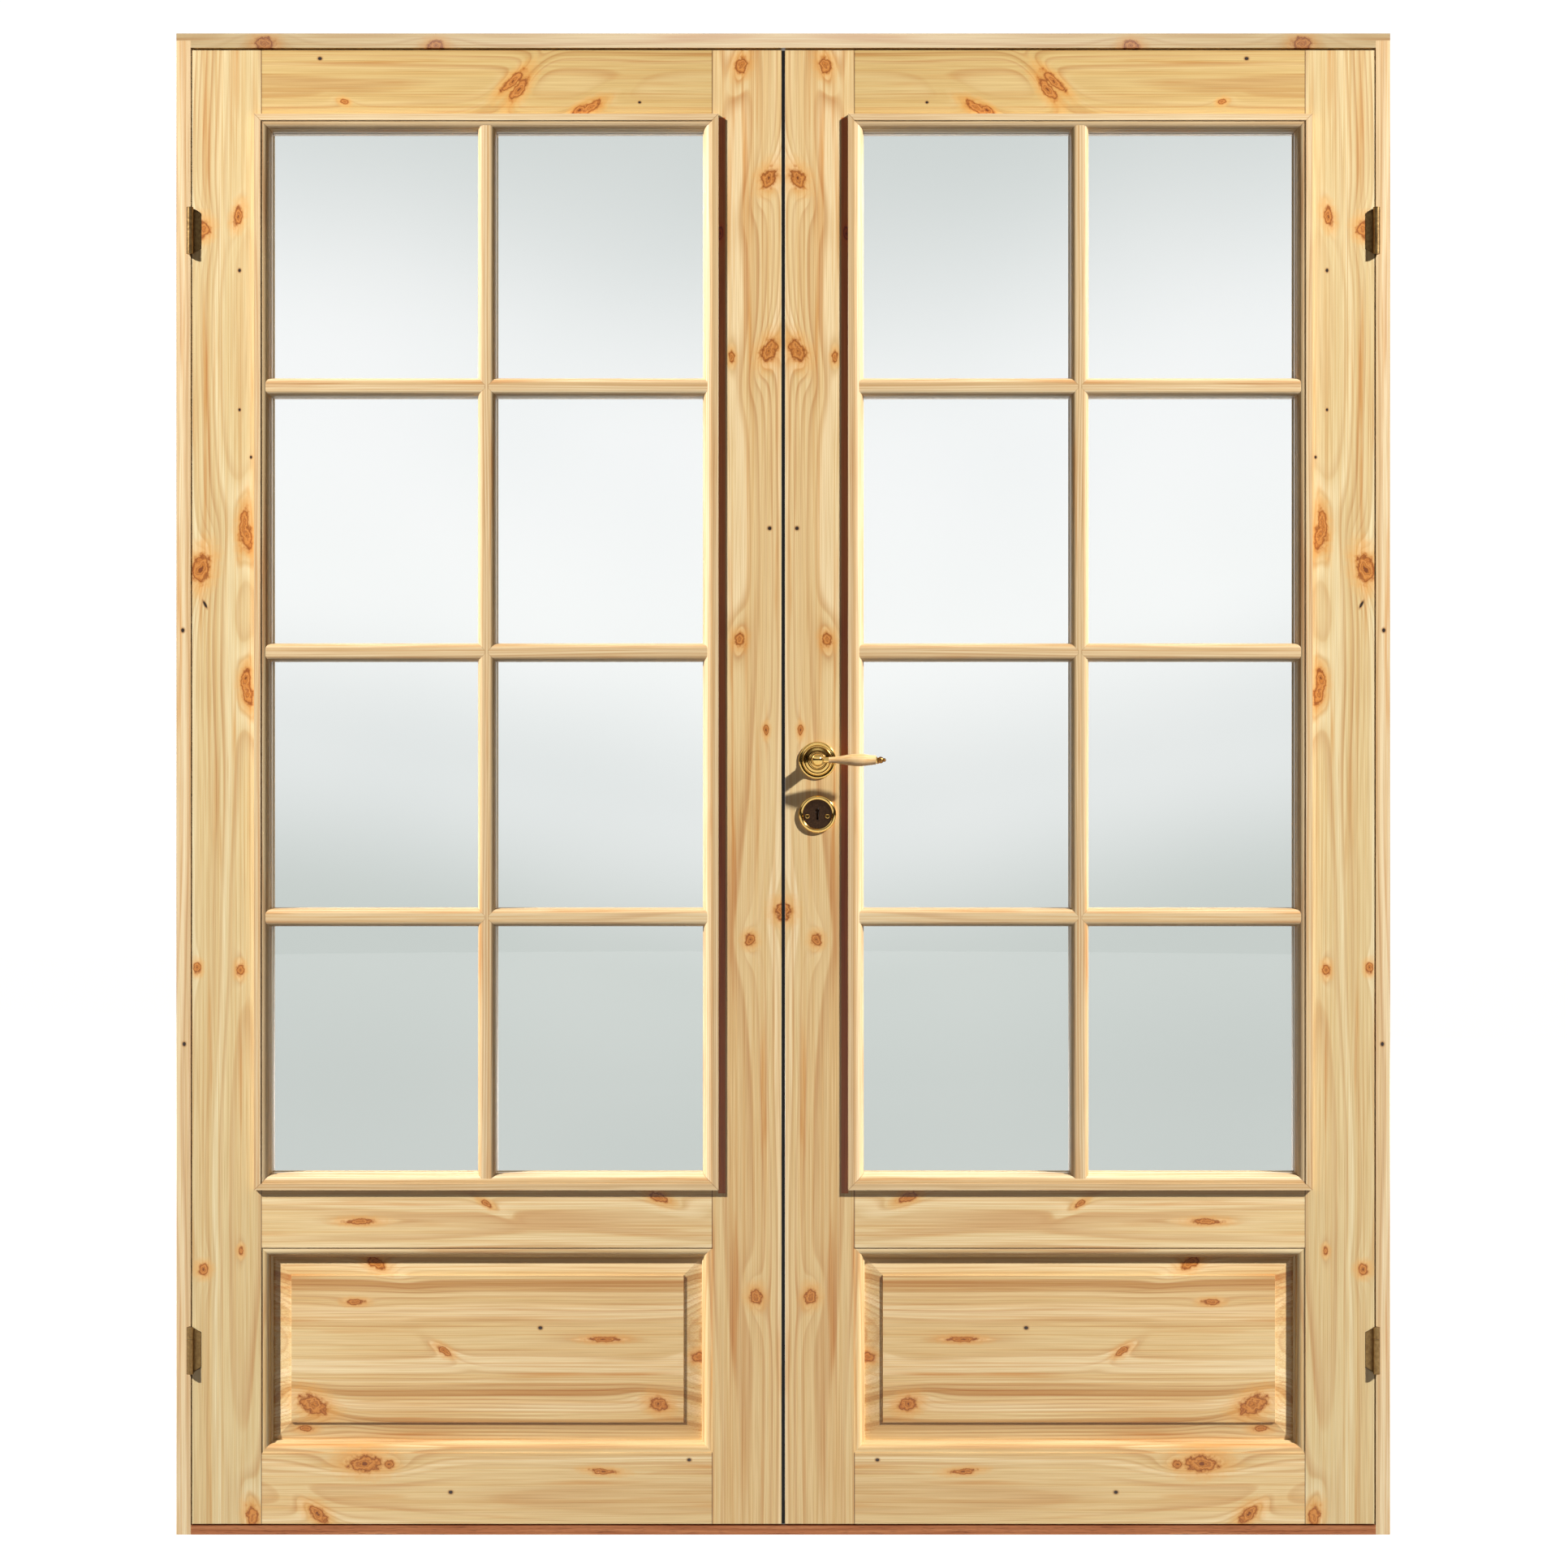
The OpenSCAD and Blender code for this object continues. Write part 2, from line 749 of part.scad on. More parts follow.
module bars(side, face) {
  columns = bar_middles(in_x0 + bead_in, in_x1 - bead_in, pane_cols);
  rows = bar_middles(glaze_z0 + bead_in, glaze_z1 - bead_in, pane_rows);
  color(pine) on_side(side) on_face(face) difference() {
    union() {
      for (x = columns)
        along_z(glaze_z0 + eps, glaze_z1 - eps) polygon(bar_section(x));
      for (z = rows)
        along_x(in_x0 + eps, in_x1 - eps) polygon(swapped(bar_section(z)));
    }
    bead_ring();
  }
}

module leaf_screws(side) {
  color(steel) on_side(side)
    for (z = hinge_zs) plate_screws(z, leaf_x1, -1, 0);
}

// ---------------------------------------------------------------- passive (left) leaf

module meeting_seal() {
  tip_x = leaf_x0 - meet_seal_out + meet_seal_r;
  color(black) mirror([1, 0, 0]) along_z(leaf_z0 + pass, leaf_z1 - pass) union() {
    translate([tip_x, meet_seal_y]) circle(meet_seal_r);
    translate([tip_x, meet_seal_y - meet_seal_r])
      square([leaf_x0 - tip_x, 2 * meet_seal_r]);
    translate([leaf_x0 - eps, meet_seal_y - meet_seal_root_w / 2])
      square([meet_seal_root + eps, meet_seal_root_w]);
  }
}

module strike_plate() {
  color(steel) mirror([1, 0, 0]) difference() {
    block(leaf_x0, leaf_x0 + strike_t, mid_y - face_plate_w / 2, mid_y + face_plate_w / 2,
          strike_z0, strike_z0 + strike_l);
    for (p = [[latch_z, latch_h], [dead_z, dead_h]])
      block(leaf_x0 - eps, leaf_x0 + strike_t + eps, mid_y - latch_w / 2 - 1,
            mid_y + latch_w / 2 + 1, p[0] - p[1] / 2 - 1, p[0] + p[1] / 2 + 1);
  }
}

// Height of a point that lies this far from the upper (end 1) or lower (end -1) edge of the leaf
function from_end(end, d) = end > 0 ? leaf_z1 - d : leaf_z0 + d;

module end_block(end, x0, x1, y0, y1, d0, d1) {
  a = from_end(end, d0);
  b = from_end(end, d1);
  block(x0, x1, y0, y1, min(a, b), max(a, b));
}

module bolt_slot(end, x0, x1, play) {
  travel = end > 0 ? upper_throw : lower_throw;
  end_block(end, x0, x1, mid_y - knob_w / 2 - play, mid_y + knob_w / 2 + play,
            knob_down - knob_h / 2 - travel - 2, knob_down + knob_h / 2 + 2);
}

module flush_bolt_room(end) {
  a = from_end(end, -eps);
  b = from_end(end, bolt_l + fit);
  end_block(end, leaf_x0 - eps, leaf_x0 + face_plate_t, mid_y - face_plate_w / 2 - fit,
            mid_y + face_plate_w / 2 + fit, -eps, bolt_plate_l + fit);
  translate([bolt_x, mid_y, 0]) rod_z(min(a, b), max(a, b), bolt_r + run);
  bolt_slot(end, leaf_x0, bolt_x, pass);
}

module flush_bolt_plates() {
  color(brass) mirror([1, 0, 0]) for (end = [1, -1]) difference() {
    end_block(end, leaf_x0, leaf_x0 + face_plate_t, mid_y - face_plate_w / 2,
              mid_y + face_plate_w / 2, 0, bolt_plate_l);
    bolt_slot(end, leaf_x0 - eps, leaf_x0 + face_plate_t + eps, pass);
  }
}

module flush_bolt(end) {
  a = from_end(end, pass);
  b = from_end(end, bolt_l);
  color(brass) mirror([1, 0, 0]) union() {
    translate([bolt_x, mid_y, 0]) rod_z(min(a, b), max(a, b), bolt_r);
    end_block(end, leaf_x0 + eps, bolt_x, mid_y - knob_w / 2, mid_y + knob_w / 2,
              knob_down - knob_h / 2, knob_down + knob_h / 2);
  }
}

// ---------------------------------------------------------------- lock, right leaf

module lock_mortise() {
  block(leaf_x0 - eps, leaf_x0 + face_plate_t, mid_y - face_plate_w / 2 - fit,
        mid_y + face_plate_w / 2 + fit, face_z0 - fit, face_z0 + face_l + fit);
  block(leaf_x0, leaf_x0 + face_plate_t + case_w + fit, mid_y - case_t / 2 - fit,
        mid_y + case_t / 2 + fit, case_z0 - fit, case_z0 + case_h + fit);
}

module bolt_channel(z, w, h, depth) {
  block(leaf_x0 - eps, leaf_x0 + depth + eps, mid_y - w / 2 - run, mid_y + w / 2 + run,
        z - h / 2 - run, z + h / 2 + run);
}

module key_slot(y0, y1, play) {
  translate([spindle_x, 0, key_z + key_h / 2 - key_r]) rod_y(y0, y1, key_r + play);
  block(spindle_x - key_w / 2 - play, spindle_x + key_w / 2 + play, y0, y1,
        key_z - key_h / 2 - play, key_z + key_h / 2 - key_r);
}

module lock_case() {
  color(steel) difference() {
    union() {
      block(leaf_x0, leaf_x0 + face_plate_t, mid_y - face_plate_w / 2,
            mid_y + face_plate_w / 2, face_z0, face_z0 + face_l);
      block(leaf_x0 + face_plate_t - eps, leaf_x0 + face_plate_t + case_w,
            mid_y - case_t / 2, mid_y + case_t / 2, case_z0, case_z0 + case_h);
    }
    translate([spindle_x, 0, handle_z])
      rod_y(mid_y - case_t, mid_y + case_t, follower_r + run);
    bolt_channel(latch_z, latch_w, latch_h, latch_tail + latch_throw);
    bolt_channel(dead_z, dead_w, dead_h, dead_tail);
    key_slot(mid_y - case_t, mid_y + case_t, 0);
    through_screws(run, 0);
  }
}

module latch_bolt() {
  tip = -(latch_throw - gap_meet / 2);
  color(steel) along_z(latch_z - latch_h / 2, latch_z + latch_h / 2) polygon([
    [leaf_x0 + latch_tail, mid_y - latch_w / 2], [tip, mid_y - latch_w / 2],
    [tip + latch_w, mid_y + latch_w / 2], [leaf_x0 + latch_tail, mid_y + latch_w / 2]
  ]);
}

module dead_bolt() {
  color(steel)
    block(leaf_x0 + 0.5, leaf_x0 + dead_tail, mid_y - dead_w / 2, mid_y + dead_w / 2,
          dead_z - dead_h / 2, dead_z + dead_h / 2);
}

// A turned piece: [radius, height above the leaf] points, standing on the front or back face
module turned_on_leaf(x, z, face) {
  on_face(face) translate([x, leaf_y0, z]) rotate([90, 0, 0]) rotate_extrude() children();
}

module rose(face) {
  color(brass) turned_on_leaf(spindle_x, handle_z, face) polygon(concat(
    [[shank_r + run, 0], [rose_r, 0], [rose_r, 1.2]],
    arc(rose_r - 2.2, 1.2, 2.2, 0, 90, 4),
    [[rose_r - 4.5, 3.2], [rose_r - 5, 4.4]],
    arc(rose_r - 7.5, 4.4, 2.3, 0, 90, 4),
    [[rose_r - 9, 5.6], [rose_r - 12, 6.2], [rose_r - 13.5, rose_h - 0.8],
     [rose_r - 14.3, rose_h], [shank_r + run, rose_h]]
  ));
}

module escutcheon(face) {
  rim_h = rim_w * 0.9;
  color(brass) difference() {
    turned_on_leaf(spindle_x, key_z, face) polygon(concat(
      [[0, 0], [rose_r, 0], [rose_r, rim_h - rim_w / 2]],
      arc(rose_r - rim_w / 2, rim_h - rim_w / 2, rim_w / 2, 0, 180, 8),
      [[rose_r - rim_w, dish_h], [0, dish_h]]
    ));
    on_face(face) key_slot(leaf_y0 - dish_h - eps, leaf_y0 + eps, 0);
    through_screws(run, 0);
  }
}

// Two screws that clamp the escutcheons through the leaf
module through_screws(play, heads) {
  for (i = [-1, 1])
    translate([spindle_x + i * escutcheon_screw_x, 0, key_z + escutcheon_screw_z]) {
      rod_y(leaf_y0 - dish_h - heads - (1 - heads) * eps,
            leaf_y1 + dish_h + heads + (1 - heads) * eps, through_screw_r + play);
      if (heads > 0)
        for (face = [-1, 1]) on_face(face)
          translate([0, leaf_y0 - dish_h, 0]) rotate([90, 0, 0])
            rotate_extrude() polygon(concat(
              [[0, 0], [through_head_r, 0]],
              arc(through_head_r - 1, 0.6, 1, 0, 90, 3), [[0, through_head_h]]
            ));
    }
}

module escutcheon_screws() {
  color(brass) through_screws(0, 1);
}

module spindle() {
  reach = leaf_t / 2 + lever_out - ball_r;
  color(steel) translate([spindle_x, mid_y, handle_z]) union() {
    rod_y(-case_t / 2 + fit, case_t / 2 - fit, follower_r);
    block(-spindle_s / 2, spindle_s / 2, -reach, reach, -spindle_s / 2, spindle_s / 2);
  }
}

// The lever: shank, ball, neck, a rod through the grip, and the finial at its end
module lever(face) {
  grip_end = grip_start + grip_l;
  color(brass) on_face(face) translate([spindle_x, leaf_y0, handle_z]) difference() {
    union() {
      rod_y(-lever_out + 2, -pass, shank_r);
      translate([0, -rose_h - 1.2, 0]) rotate([90, 0, 0]) rotate_extrude() polygon(concat(
        [[0, 0], [shank_r + 2.5, 0]], arc(shank_r + 1, 2, 2, -40, 60, 5), [[0, 4.5]]
      ));
      translate([0, -lever_out, 0]) {
        sphere(r = ball_r);
        rod_x(0, grip_start, neck_r);
        rod_x(0, grip_end + 1, rod_r);
        translate([grip_end, 0, 0]) rotate([0, 90, 0]) rotate_extrude() polygon(concat(
          [[0, 0], [4.6, 0], [4.6, 1.4], [2.9, 2.4], [2.7, 3.4]],
          arc(0.6, 6.6, 4.1, -50, 50, 6),
          [[2.4, finial_l - 3.6]],
          arc(0, finial_l - 2.9, 2.9, 20, 90, 4)
        ));
      }
    }
    block(-spindle_s / 2, spindle_s / 2, -lever_out + ball_r, eps, -spindle_s / 2, spindle_s / 2);
  }
}

// Radius of the grip, t from 0 at the neck to 1 at the far end
grip_peak = 0.64;
function grip_radius(t) = t < grip_peak
  ? neck_r + (grip_r - neck_r) * (1 - cos(180 * t / grip_peak)) / 2
  : grip_end_r + (grip_r - grip_end_r) * (1 + cos(180 * (t - grip_peak) / (1 - grip_peak))) / 2;

module grip(face) {
  steps = 20;
  color(pale_pine) on_face(face)
    translate([spindle_x + grip_start, leaf_y0 - lever_out, handle_z])
      rotate([0, 90, 0]) rotate_extrude() polygon(concat(
        [[rod_r + run, 0]],
        [for (i = [0:steps]) [grip_radius(i / steps), grip_l * i / steps]],
        [[rod_r + run, grip_l]]
      ));
}

jamb(-1);  // jamb_left
jamb(1);  // jamb_right
frame_head();
threshold();
jamb_stop(-1);  // jamb_stop_left
jamb_stop(1);  // jamb_stop_right
head_stop();
threshold_stop();
frame_screws();
frame_seal();
keep_plate(head_z, 1);  // head_keep
keep_plate(sill_h, -1);  // sill_keep
jamb_hinge(-1, upper_hinge_z);  // jamb_hinge_left_upper
jamb_hinge(-1, lower_hinge_z);  // jamb_hinge_left_lower
jamb_hinge(1, upper_hinge_z);  // jamb_hinge_right_upper
jamb_hinge(1, lower_hinge_z);  // jamb_hinge_right_lower
hinge_stile(-1);  // left_hinge_stile
left_meeting_stile();
top_rail(-1);  // left_top_rail
mid_rail(-1);  // left_mid_rail
bottom_rail(-1);  // left_bottom_rail
panel(-1);  // left_panel
glass(-1);  // left_glass
beads(-1, -1);  // left_front_beads
bars(-1, -1);  // left_front_bars
beads(-1, 1);  // left_back_beads
bars(-1, 1);  // left_back_bars
dowels(-1);  // left_dowels
leaf_hinge(-1, upper_hinge_z);  // left_upper_hinge
leaf_hinge(-1, lower_hinge_z);  // left_lower_hinge
leaf_screws(-1);  // left_screws
meeting_seal();
strike_plate();
flush_bolt_plates();
flush_bolt(1);  // upper_flush_bolt
flush_bolt(-1);  // lower_flush_bolt
hinge_stile(1);  // right_hinge_stile
right_meeting_stile();
top_rail(1);  // right_top_rail
mid_rail(1);  // right_mid_rail
bottom_rail(1);  // right_bottom_rail
panel(1);  // right_panel
glass(1);  // right_glass
beads(1, -1);  // right_front_beads
bars(1, -1);  // right_front_bars
beads(1, 1);  // right_back_beads
bars(1, 1);  // right_back_bars
dowels(1);  // right_dowels
leaf_hinge(1, upper_hinge_z);  // right_upper_hinge
leaf_hinge(1, lower_hinge_z);  // right_lower_hinge
leaf_screws(1);  // right_screws
lock_case();
latch_bolt();
dead_bolt();
rose(-1);  // front_rose
rose(1);  // back_rose
escutcheon(-1);  // front_escutcheon
escutcheon(1);  // back_escutcheon
escutcheon_screws();
spindle();
lever(-1);  // front_lever
lever(1);  // back_lever
grip(-1);  // front_grip
grip(1);  // back_grip
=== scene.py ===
# %% [markdown]
# # A pair of glazed pine doors
# The construction comes packed: every board, bead, pane and hinge is already a mesh at its real
# size, tied to the body that it moves with. This lesson gives each of them its finish, adds the small
# pieces that only the eye needs, and sets up a plain studio. Everything is in metres: z = 0 is the
# floor, the front of the doors faces -Y, and x = 0 is the line where the two leaves meet.

# %% Load the frame
import json
import math

import bmesh
import bpy
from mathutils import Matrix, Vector


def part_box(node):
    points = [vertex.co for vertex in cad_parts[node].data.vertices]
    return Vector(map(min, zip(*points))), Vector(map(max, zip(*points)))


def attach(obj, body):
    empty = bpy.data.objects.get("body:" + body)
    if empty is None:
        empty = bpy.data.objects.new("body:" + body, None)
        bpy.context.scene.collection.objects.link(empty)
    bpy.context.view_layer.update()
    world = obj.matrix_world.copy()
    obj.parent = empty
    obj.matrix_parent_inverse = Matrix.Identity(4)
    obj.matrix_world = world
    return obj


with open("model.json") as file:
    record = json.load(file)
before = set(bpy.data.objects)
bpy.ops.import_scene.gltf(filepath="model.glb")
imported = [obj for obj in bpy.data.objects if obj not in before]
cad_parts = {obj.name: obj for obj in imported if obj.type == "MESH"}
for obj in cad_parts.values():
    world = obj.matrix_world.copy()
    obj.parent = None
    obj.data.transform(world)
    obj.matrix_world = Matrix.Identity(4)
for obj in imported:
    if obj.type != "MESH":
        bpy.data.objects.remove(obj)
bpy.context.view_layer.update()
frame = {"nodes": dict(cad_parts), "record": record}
nodes = frame["nodes"]
scene = bpy.context.scene
MM = 0.001

# %% [markdown]
# The doors are symmetrical, so the places that the finishes need are read once from the right leaf:
# the edges of its rails and stiles, the opening for the glass and the middles of the glazing bars.

# %% Measure what the finishes refer to
stile_low, stile_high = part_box("right_meeting_stile")
hinge_low, hinge_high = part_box("right_hinge_stile")
glass_low, glass_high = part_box("right_glass")
top_low, top_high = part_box("right_top_rail")
mid_low, mid_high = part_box("right_mid_rail")
bead_low, bead_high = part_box("right_front_beads")
plate_low, plate_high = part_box("front_escutcheon")
door_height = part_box("frame_head")[1].z
leaf_front = stile_low.y
glass_mid_x = (glass_low.x + glass_high.x) / 2
print("leaf front at y", round(leaf_front, 4), "glass from", tuple(round(v, 4) for v in glass_low))

# %% [markdown]
# Two helpers carry all the shading. `srgb` turns a hex colour, as a paint chart gives it, into the
# linear numbers that a shader works with. `add` makes one node: its keywords are the node's own
# settings, and its `links` are what goes into each socket, either another node's output or a value.

# %% Colour and node helpers
def srgb(code):
    """A hex colour such as "#E8C687" as linear red, green, blue and alpha."""
    channels = [int(code[i:i + 2], 16) / 255 for i in (1, 3, 5)]
    return [c / 12.92 if c <= 0.04045 else ((c + 0.055) / 1.055) ** 2.4 for c in channels] + [1.0]


def add(tree, kind, links=None, **settings):
    """One node of this kind, with its settings, and each socket in links joined or set."""
    node = tree.nodes.new("ShaderNode" + kind)
    for key, value in settings.items():
        setattr(node, key, value)
    for socket, source in (links or {}).items():
        if isinstance(source, bpy.types.NodeSocket):
            tree.links.new(source, node.inputs[socket])
        else:
            node.inputs[socket].default_value = source
    return node


def new_material(name):
    """An empty node material and its tree."""
    material = bpy.data.materials.new(name)
    material.use_nodes = True
    material.node_tree.nodes.clear()
    return material, material.node_tree


def close(tree, shader):
    """Joins a finished shader to the surface."""
    add(tree, "OutputMaterial", {"Surface": shader})


def ramp(tree, factor, stops, blend="LINEAR"):
    """A colour ramp from (place, hex colour) or (place, hex colour, alpha) stops."""
    node = add(tree, "ValToRGB", {"Fac": factor})
    node.color_ramp.interpolation = blend
    while len(node.color_ramp.elements) < len(stops):
        node.color_ramp.elements.new(1.0)
    for element, stop in zip(node.color_ramp.elements, stops):
        element.position = stop[0]
        element.color = srgb(stop[1])[:3] + [stop[2] if len(stop) > 2 else 1.0]
    return node


print("pine, mid tone:", [round(v, 3) for v in srgb("#E2BE80")])

# %% [markdown]
# ## Pine
# Scots pine, planed and given a clear satin lacquer. A board shows the growth rings of its trunk cut
# lengthwise: pale spring wood, a thin amber line of summer wood for each year, and knots that the
# rings flow around. A picture of wood would repeat and stretch, so the finish is solid: for each
# point it works out how far that point lies from the heart of the trunk, and colours it by its ring.
#
# The heart runs along the board, some centimetres behind its face, and wanders a little. A knot is a
# branch cut across: the rings part and flow around it, so near a knot the finish reads them from
# further out, in a shape drawn out along the grain. Its own disc is coloured by a second ramp.
#
# Three streaks lie over the rings, each a noise stretched along the grain: fibres, threads of resin
# and amber patches. Each one is a row of counts per metre, along the board, across it and into it,
# so the width of a streak is one metre divided by its count. The two leaves are cut from matched
# boards, so the left one mirrors the right: the finish reads the absolute position.

# %% Growth rings and knots
RING = 3.1 * MM                        # one year of growth
BAND = 13 * MM                         # slow and fast years change the tone this far apart
PIN_KNOT = 3.5                         # a knot with a smaller radius, in mm, is a black pin knot
WANDER = 24 * MM                       # how far the heart strays from a straight line
HEART_TILT = 0.006                     # a step along the board counts this little for its ring
WANDERING = (1.1, 6.0, 6.0)            # the heart strays over about 900 mm of length
FAINT_RINGS = (2.0, 22.0, 22.0)        # rings are clear or faint in places 500 by 45 mm
FIBRES = (9.0, 1 / (0.45 * MM), 1 / (0.45 * MM))     # bundles of fibres, 110 by 0.45 mm
THREADS = (1.8, 380.0, 380.0)          # resin threads, 550 by 2.6 mm: drawn coarse enough to show
PATCHES = (3.4, 95.0, 95.0)            # amber patches, 290 by 10 mm
KNOT_EDGE = 140.0                      # the outline of a knot is uneven every 7 mm


def along_across(tree, grain):
    """The mirrored position as (along the grain, across the face, into the wood)."""
    place = add(tree, "TexCoord").outputs["Object"]
    place = add(tree, "VectorMath", {0: place}, operation="ABSOLUTE").outputs[0]
    split = add(tree, "SeparateXYZ", {0: place})
    order = ("Z", "X", "Y") if grain == "z" else ("X", "Z", "Y")
    return add(tree, "CombineXYZ", {i: split.outputs[axis] for i, axis in enumerate(order)}).outputs[0]


def wood_rings(tree, place, heart, depth, knots, seed):
    """The distance from the heart, and the nearest knot and pin knot, in their own radii."""
    slow = add(tree, "VectorMath", {0: place, 1: WANDERING}, operation="MULTIPLY").outputs[0]
    wander = add(tree, "TexNoise", {"Vector": slow, "W": seed, "Scale": 1.0, "Detail": 2.0,
                                    "Roughness": 0.35}, noise_dimensions="4D").outputs["Fac"]
    centred = add(tree, "VectorMath", {0: place, 1: (0.0, heart, -depth)},
                  operation="SUBTRACT").outputs[0]
    round_heart = add(tree, "VectorMath", {0: centred, 1: (HEART_TILT, 1.0, 1.0)},
                      operation="MULTIPLY").outputs[0]
    field = add(tree, "VectorMath", {0: round_heart}, operation="LENGTH").outputs["Value"]
    field = add(tree, "Math", {0: wander, 1: WANDER, 2: field}, operation="MULTIPLY_ADD").outputs[0]
    nearest = pins = None
    for along, across, radius, *shape in knots:
        size = radius * MM
        longer, slant = shape or (1.25, 0)
        local = add(tree, "Mapping", {
            "Vector": place, "Location": (along * MM, across * MM, 0.0),
            "Rotation": (0.0, 0.0, math.radians(slant)), "Scale": (size * longer, size, 1000.0)},
            vector_type="TEXTURE").outputs[0]
        near = add(tree, "VectorMath", {0: local}, operation="LENGTH").outputs["Value"]
        if radius < PIN_KNOT:
            pins = near if pins is None else add(tree, "Math", {0: pins, 1: near},
                                                 operation="MINIMUM").outputs[0]
            continue
        drawn_out = add(tree, "VectorMath", {0: local, 1: (0.30, 0.62, 0.0)},
                        operation="MULTIPLY").outputs[0]
        reach = add(tree, "VectorMath", {0: drawn_out}, operation="LENGTH").outputs["Value"]
        fade = add(tree, "Math", {0: reach, 1: -1.5}, operation="MULTIPLY").outputs[0]
        part = add(tree, "Math", {0: fade}, operation="EXPONENT").outputs[0]
        field = add(tree, "Math", {0: part, 1: size * 1.5, 2: field},
                    operation="MULTIPLY_ADD").outputs[0]
        nearest = near if nearest is None else add(tree, "Math", {0: nearest, 1: near},
                                                   operation="MINIMUM").outputs[0]
    return field, nearest, pins


print("ring spacing", RING * 1000, "mm, tone bands", BAND * 1000, "mm")

# %% [markdown]
# The colour goes on in layers, each multiplied into the last, because each one only darkens the pale
# wood: the tone of the slow and fast years, the line of each year, fibres, amber patches and threads.
# A knot covers all of them. Its ramp runs from its middle outwards, with rings of its own and a dark
# rim of bark, and fades at the edge. A pin knot is the dry core of a twig, nearly black.

# %% Colour of the wood
def mix(tree, factor, low, high, blend="MIX"):
    """One colour over another."""
    node = add(tree, "Mix", {"Factor": factor}, data_type="RGBA", blend_type=blend)
    for socket, source in ((node.inputs[6], low), (node.inputs[7], high)):
        if isinstance(source, bpy.types.NodeSocket):
            tree.links.new(source, socket)
        else:
            socket.default_value = source
    return node.outputs[2]


def wood_colour(tree, place, tones, heart, depth, knots, seed):
    """Colour and ring height of a solid piece of pine."""
    field, nearest, pins = wood_rings(tree, place, heart, depth, knots, seed)
    band = add(tree, "Math", {0: field, 1: 1 / BAND}, operation="MULTIPLY").outputs[0]
    growth = add(tree, "TexNoise", {"W": band, "Scale": 1.0, "Detail": 3.0, "Roughness": 0.65},
                 noise_dimensions="1D").outputs["Fac"]
    base = ramp(tree, growth, [(0.34, tones[0]), (0.50, tones[1]), (0.62, tones[2]),
                               (0.76, tones[3])], "EASE").outputs["Color"]
    year = add(tree, "Math", {0: field, 1: 1 / RING}, operation="MULTIPLY").outputs[0]
    ring = add(tree, "Math", {0: year}, operation="FRACT").outputs[0]
    line = ramp(tree, ring, [(0.0, "#FFFFFF"), (0.50, "#FDF8F0"), (0.82, "#CC8E48"),
                             (0.90, "#D9A668"), (1.0, "#FFFFFF")]).outputs["Color"]
    faint = add(tree, "VectorMath", {0: place, 1: FAINT_RINGS}, operation="MULTIPLY").outputs[0]
    clear = add(tree, "TexNoise", {"Vector": faint, "W": seed, "Scale": 1.0, "Detail": 1.0},
                noise_dimensions="4D").outputs["Fac"]
    strength = add(tree, "MapRange", {0: clear, 1: 0.38, 2: 0.66, 3: 0.10, 4: 0.50}).outputs[0]
    base = mix(tree, strength, base, line, "MULTIPLY")
    stretched = add(tree, "VectorMath", {0: place, 1: FIBRES}, operation="MULTIPLY").outputs[0]
    fibre = add(tree, "TexNoise", {"Vector": stretched, "Scale": 1.0, "Detail": 2.0}).outputs["Fac"]
    streak = ramp(tree, fibre, [(0.32, "#CFAF7E"), (0.58, "#FFFFFF")]).outputs["Color"]
    base = mix(tree, 0.55, base, streak, "MULTIPLY")
    long = add(tree, "VectorMath", {0: place, 1: PATCHES}, operation="MULTIPLY").outputs[0]
    patch = add(tree, "TexNoise", {"Vector": long, "W": seed + 7.0, "Scale": 1.0, "Detail": 3.0},
                noise_dimensions="4D").outputs["Fac"]
    amber = ramp(tree, patch, [(0.58, "#FFFFFF"), (0.72, "#E9B873"),
                               (0.84, "#D89A4E")]).outputs["Color"]
    base = mix(tree, 0.7, base, amber, "MULTIPLY")
    fine = add(tree, "VectorMath", {0: place, 1: THREADS}, operation="MULTIPLY").outputs[0]
    resin = add(tree, "TexNoise", {"Vector": fine, "W": seed + 3.0, "Scale": 1.0, "Detail": 4.0,
                                   "Roughness": 0.6}, noise_dimensions="4D").outputs["Fac"]
    thread = ramp(tree, resin, [(0.34, "#FFFFFF"), (0.52, "#FFFCF5"), (0.61, "#F5E0BE"),
                                (0.72, "#D39A5C")]).outputs["Color"]
    base = mix(tree, 0.6, base, thread, "MULTIPLY")
    if nearest is not None:
        rough_edge = add(tree, "TexNoise", {"Vector": place, "Scale": KNOT_EDGE,
                                            "Detail": 3.0}).outputs["Fac"]
        near = add(tree, "Math", {0: rough_edge, 1: 1.35, 2: nearest},
                   operation="MULTIPLY_ADD").outputs[0]
        near = add(tree, "Math", {0: near, 1: 0.67}, operation="SUBTRACT").outputs[0]
        near = add(tree, "Math", {0: near, 1: 0.25}, operation="MULTIPLY").outputs[0]
        disc = ramp(tree, near, [(0.0, "#7A3E14"), (0.05, "#C67C30"), (0.09, "#A4602A"),
                                 (0.13, "#D08C42"), (0.17, "#BC7430"), (0.215, "#8A4814"),
                                 (0.25, "#BE762A", 0.85), (0.33, "#E09C46", 0.5),
                                 (0.66, "#E6AC5C", 0.0)])
        base = mix(tree, disc.outputs["Alpha"], base, disc.outputs["Color"])
    if pins is not None:
        near = add(tree, "Math", {0: pins, 1: 0.25}, operation="MULTIPLY").outputs[0]
        dot = ramp(tree, near, [(0.0, "#1C110B"), (0.17, "#26170E"), (0.24, "#9A6534", 0.7),
                                (0.42, "#D2A468", 0.0)])
        base = mix(tree, dot.outputs["Alpha"], base, dot.outputs["Color"])
    return base, fibre


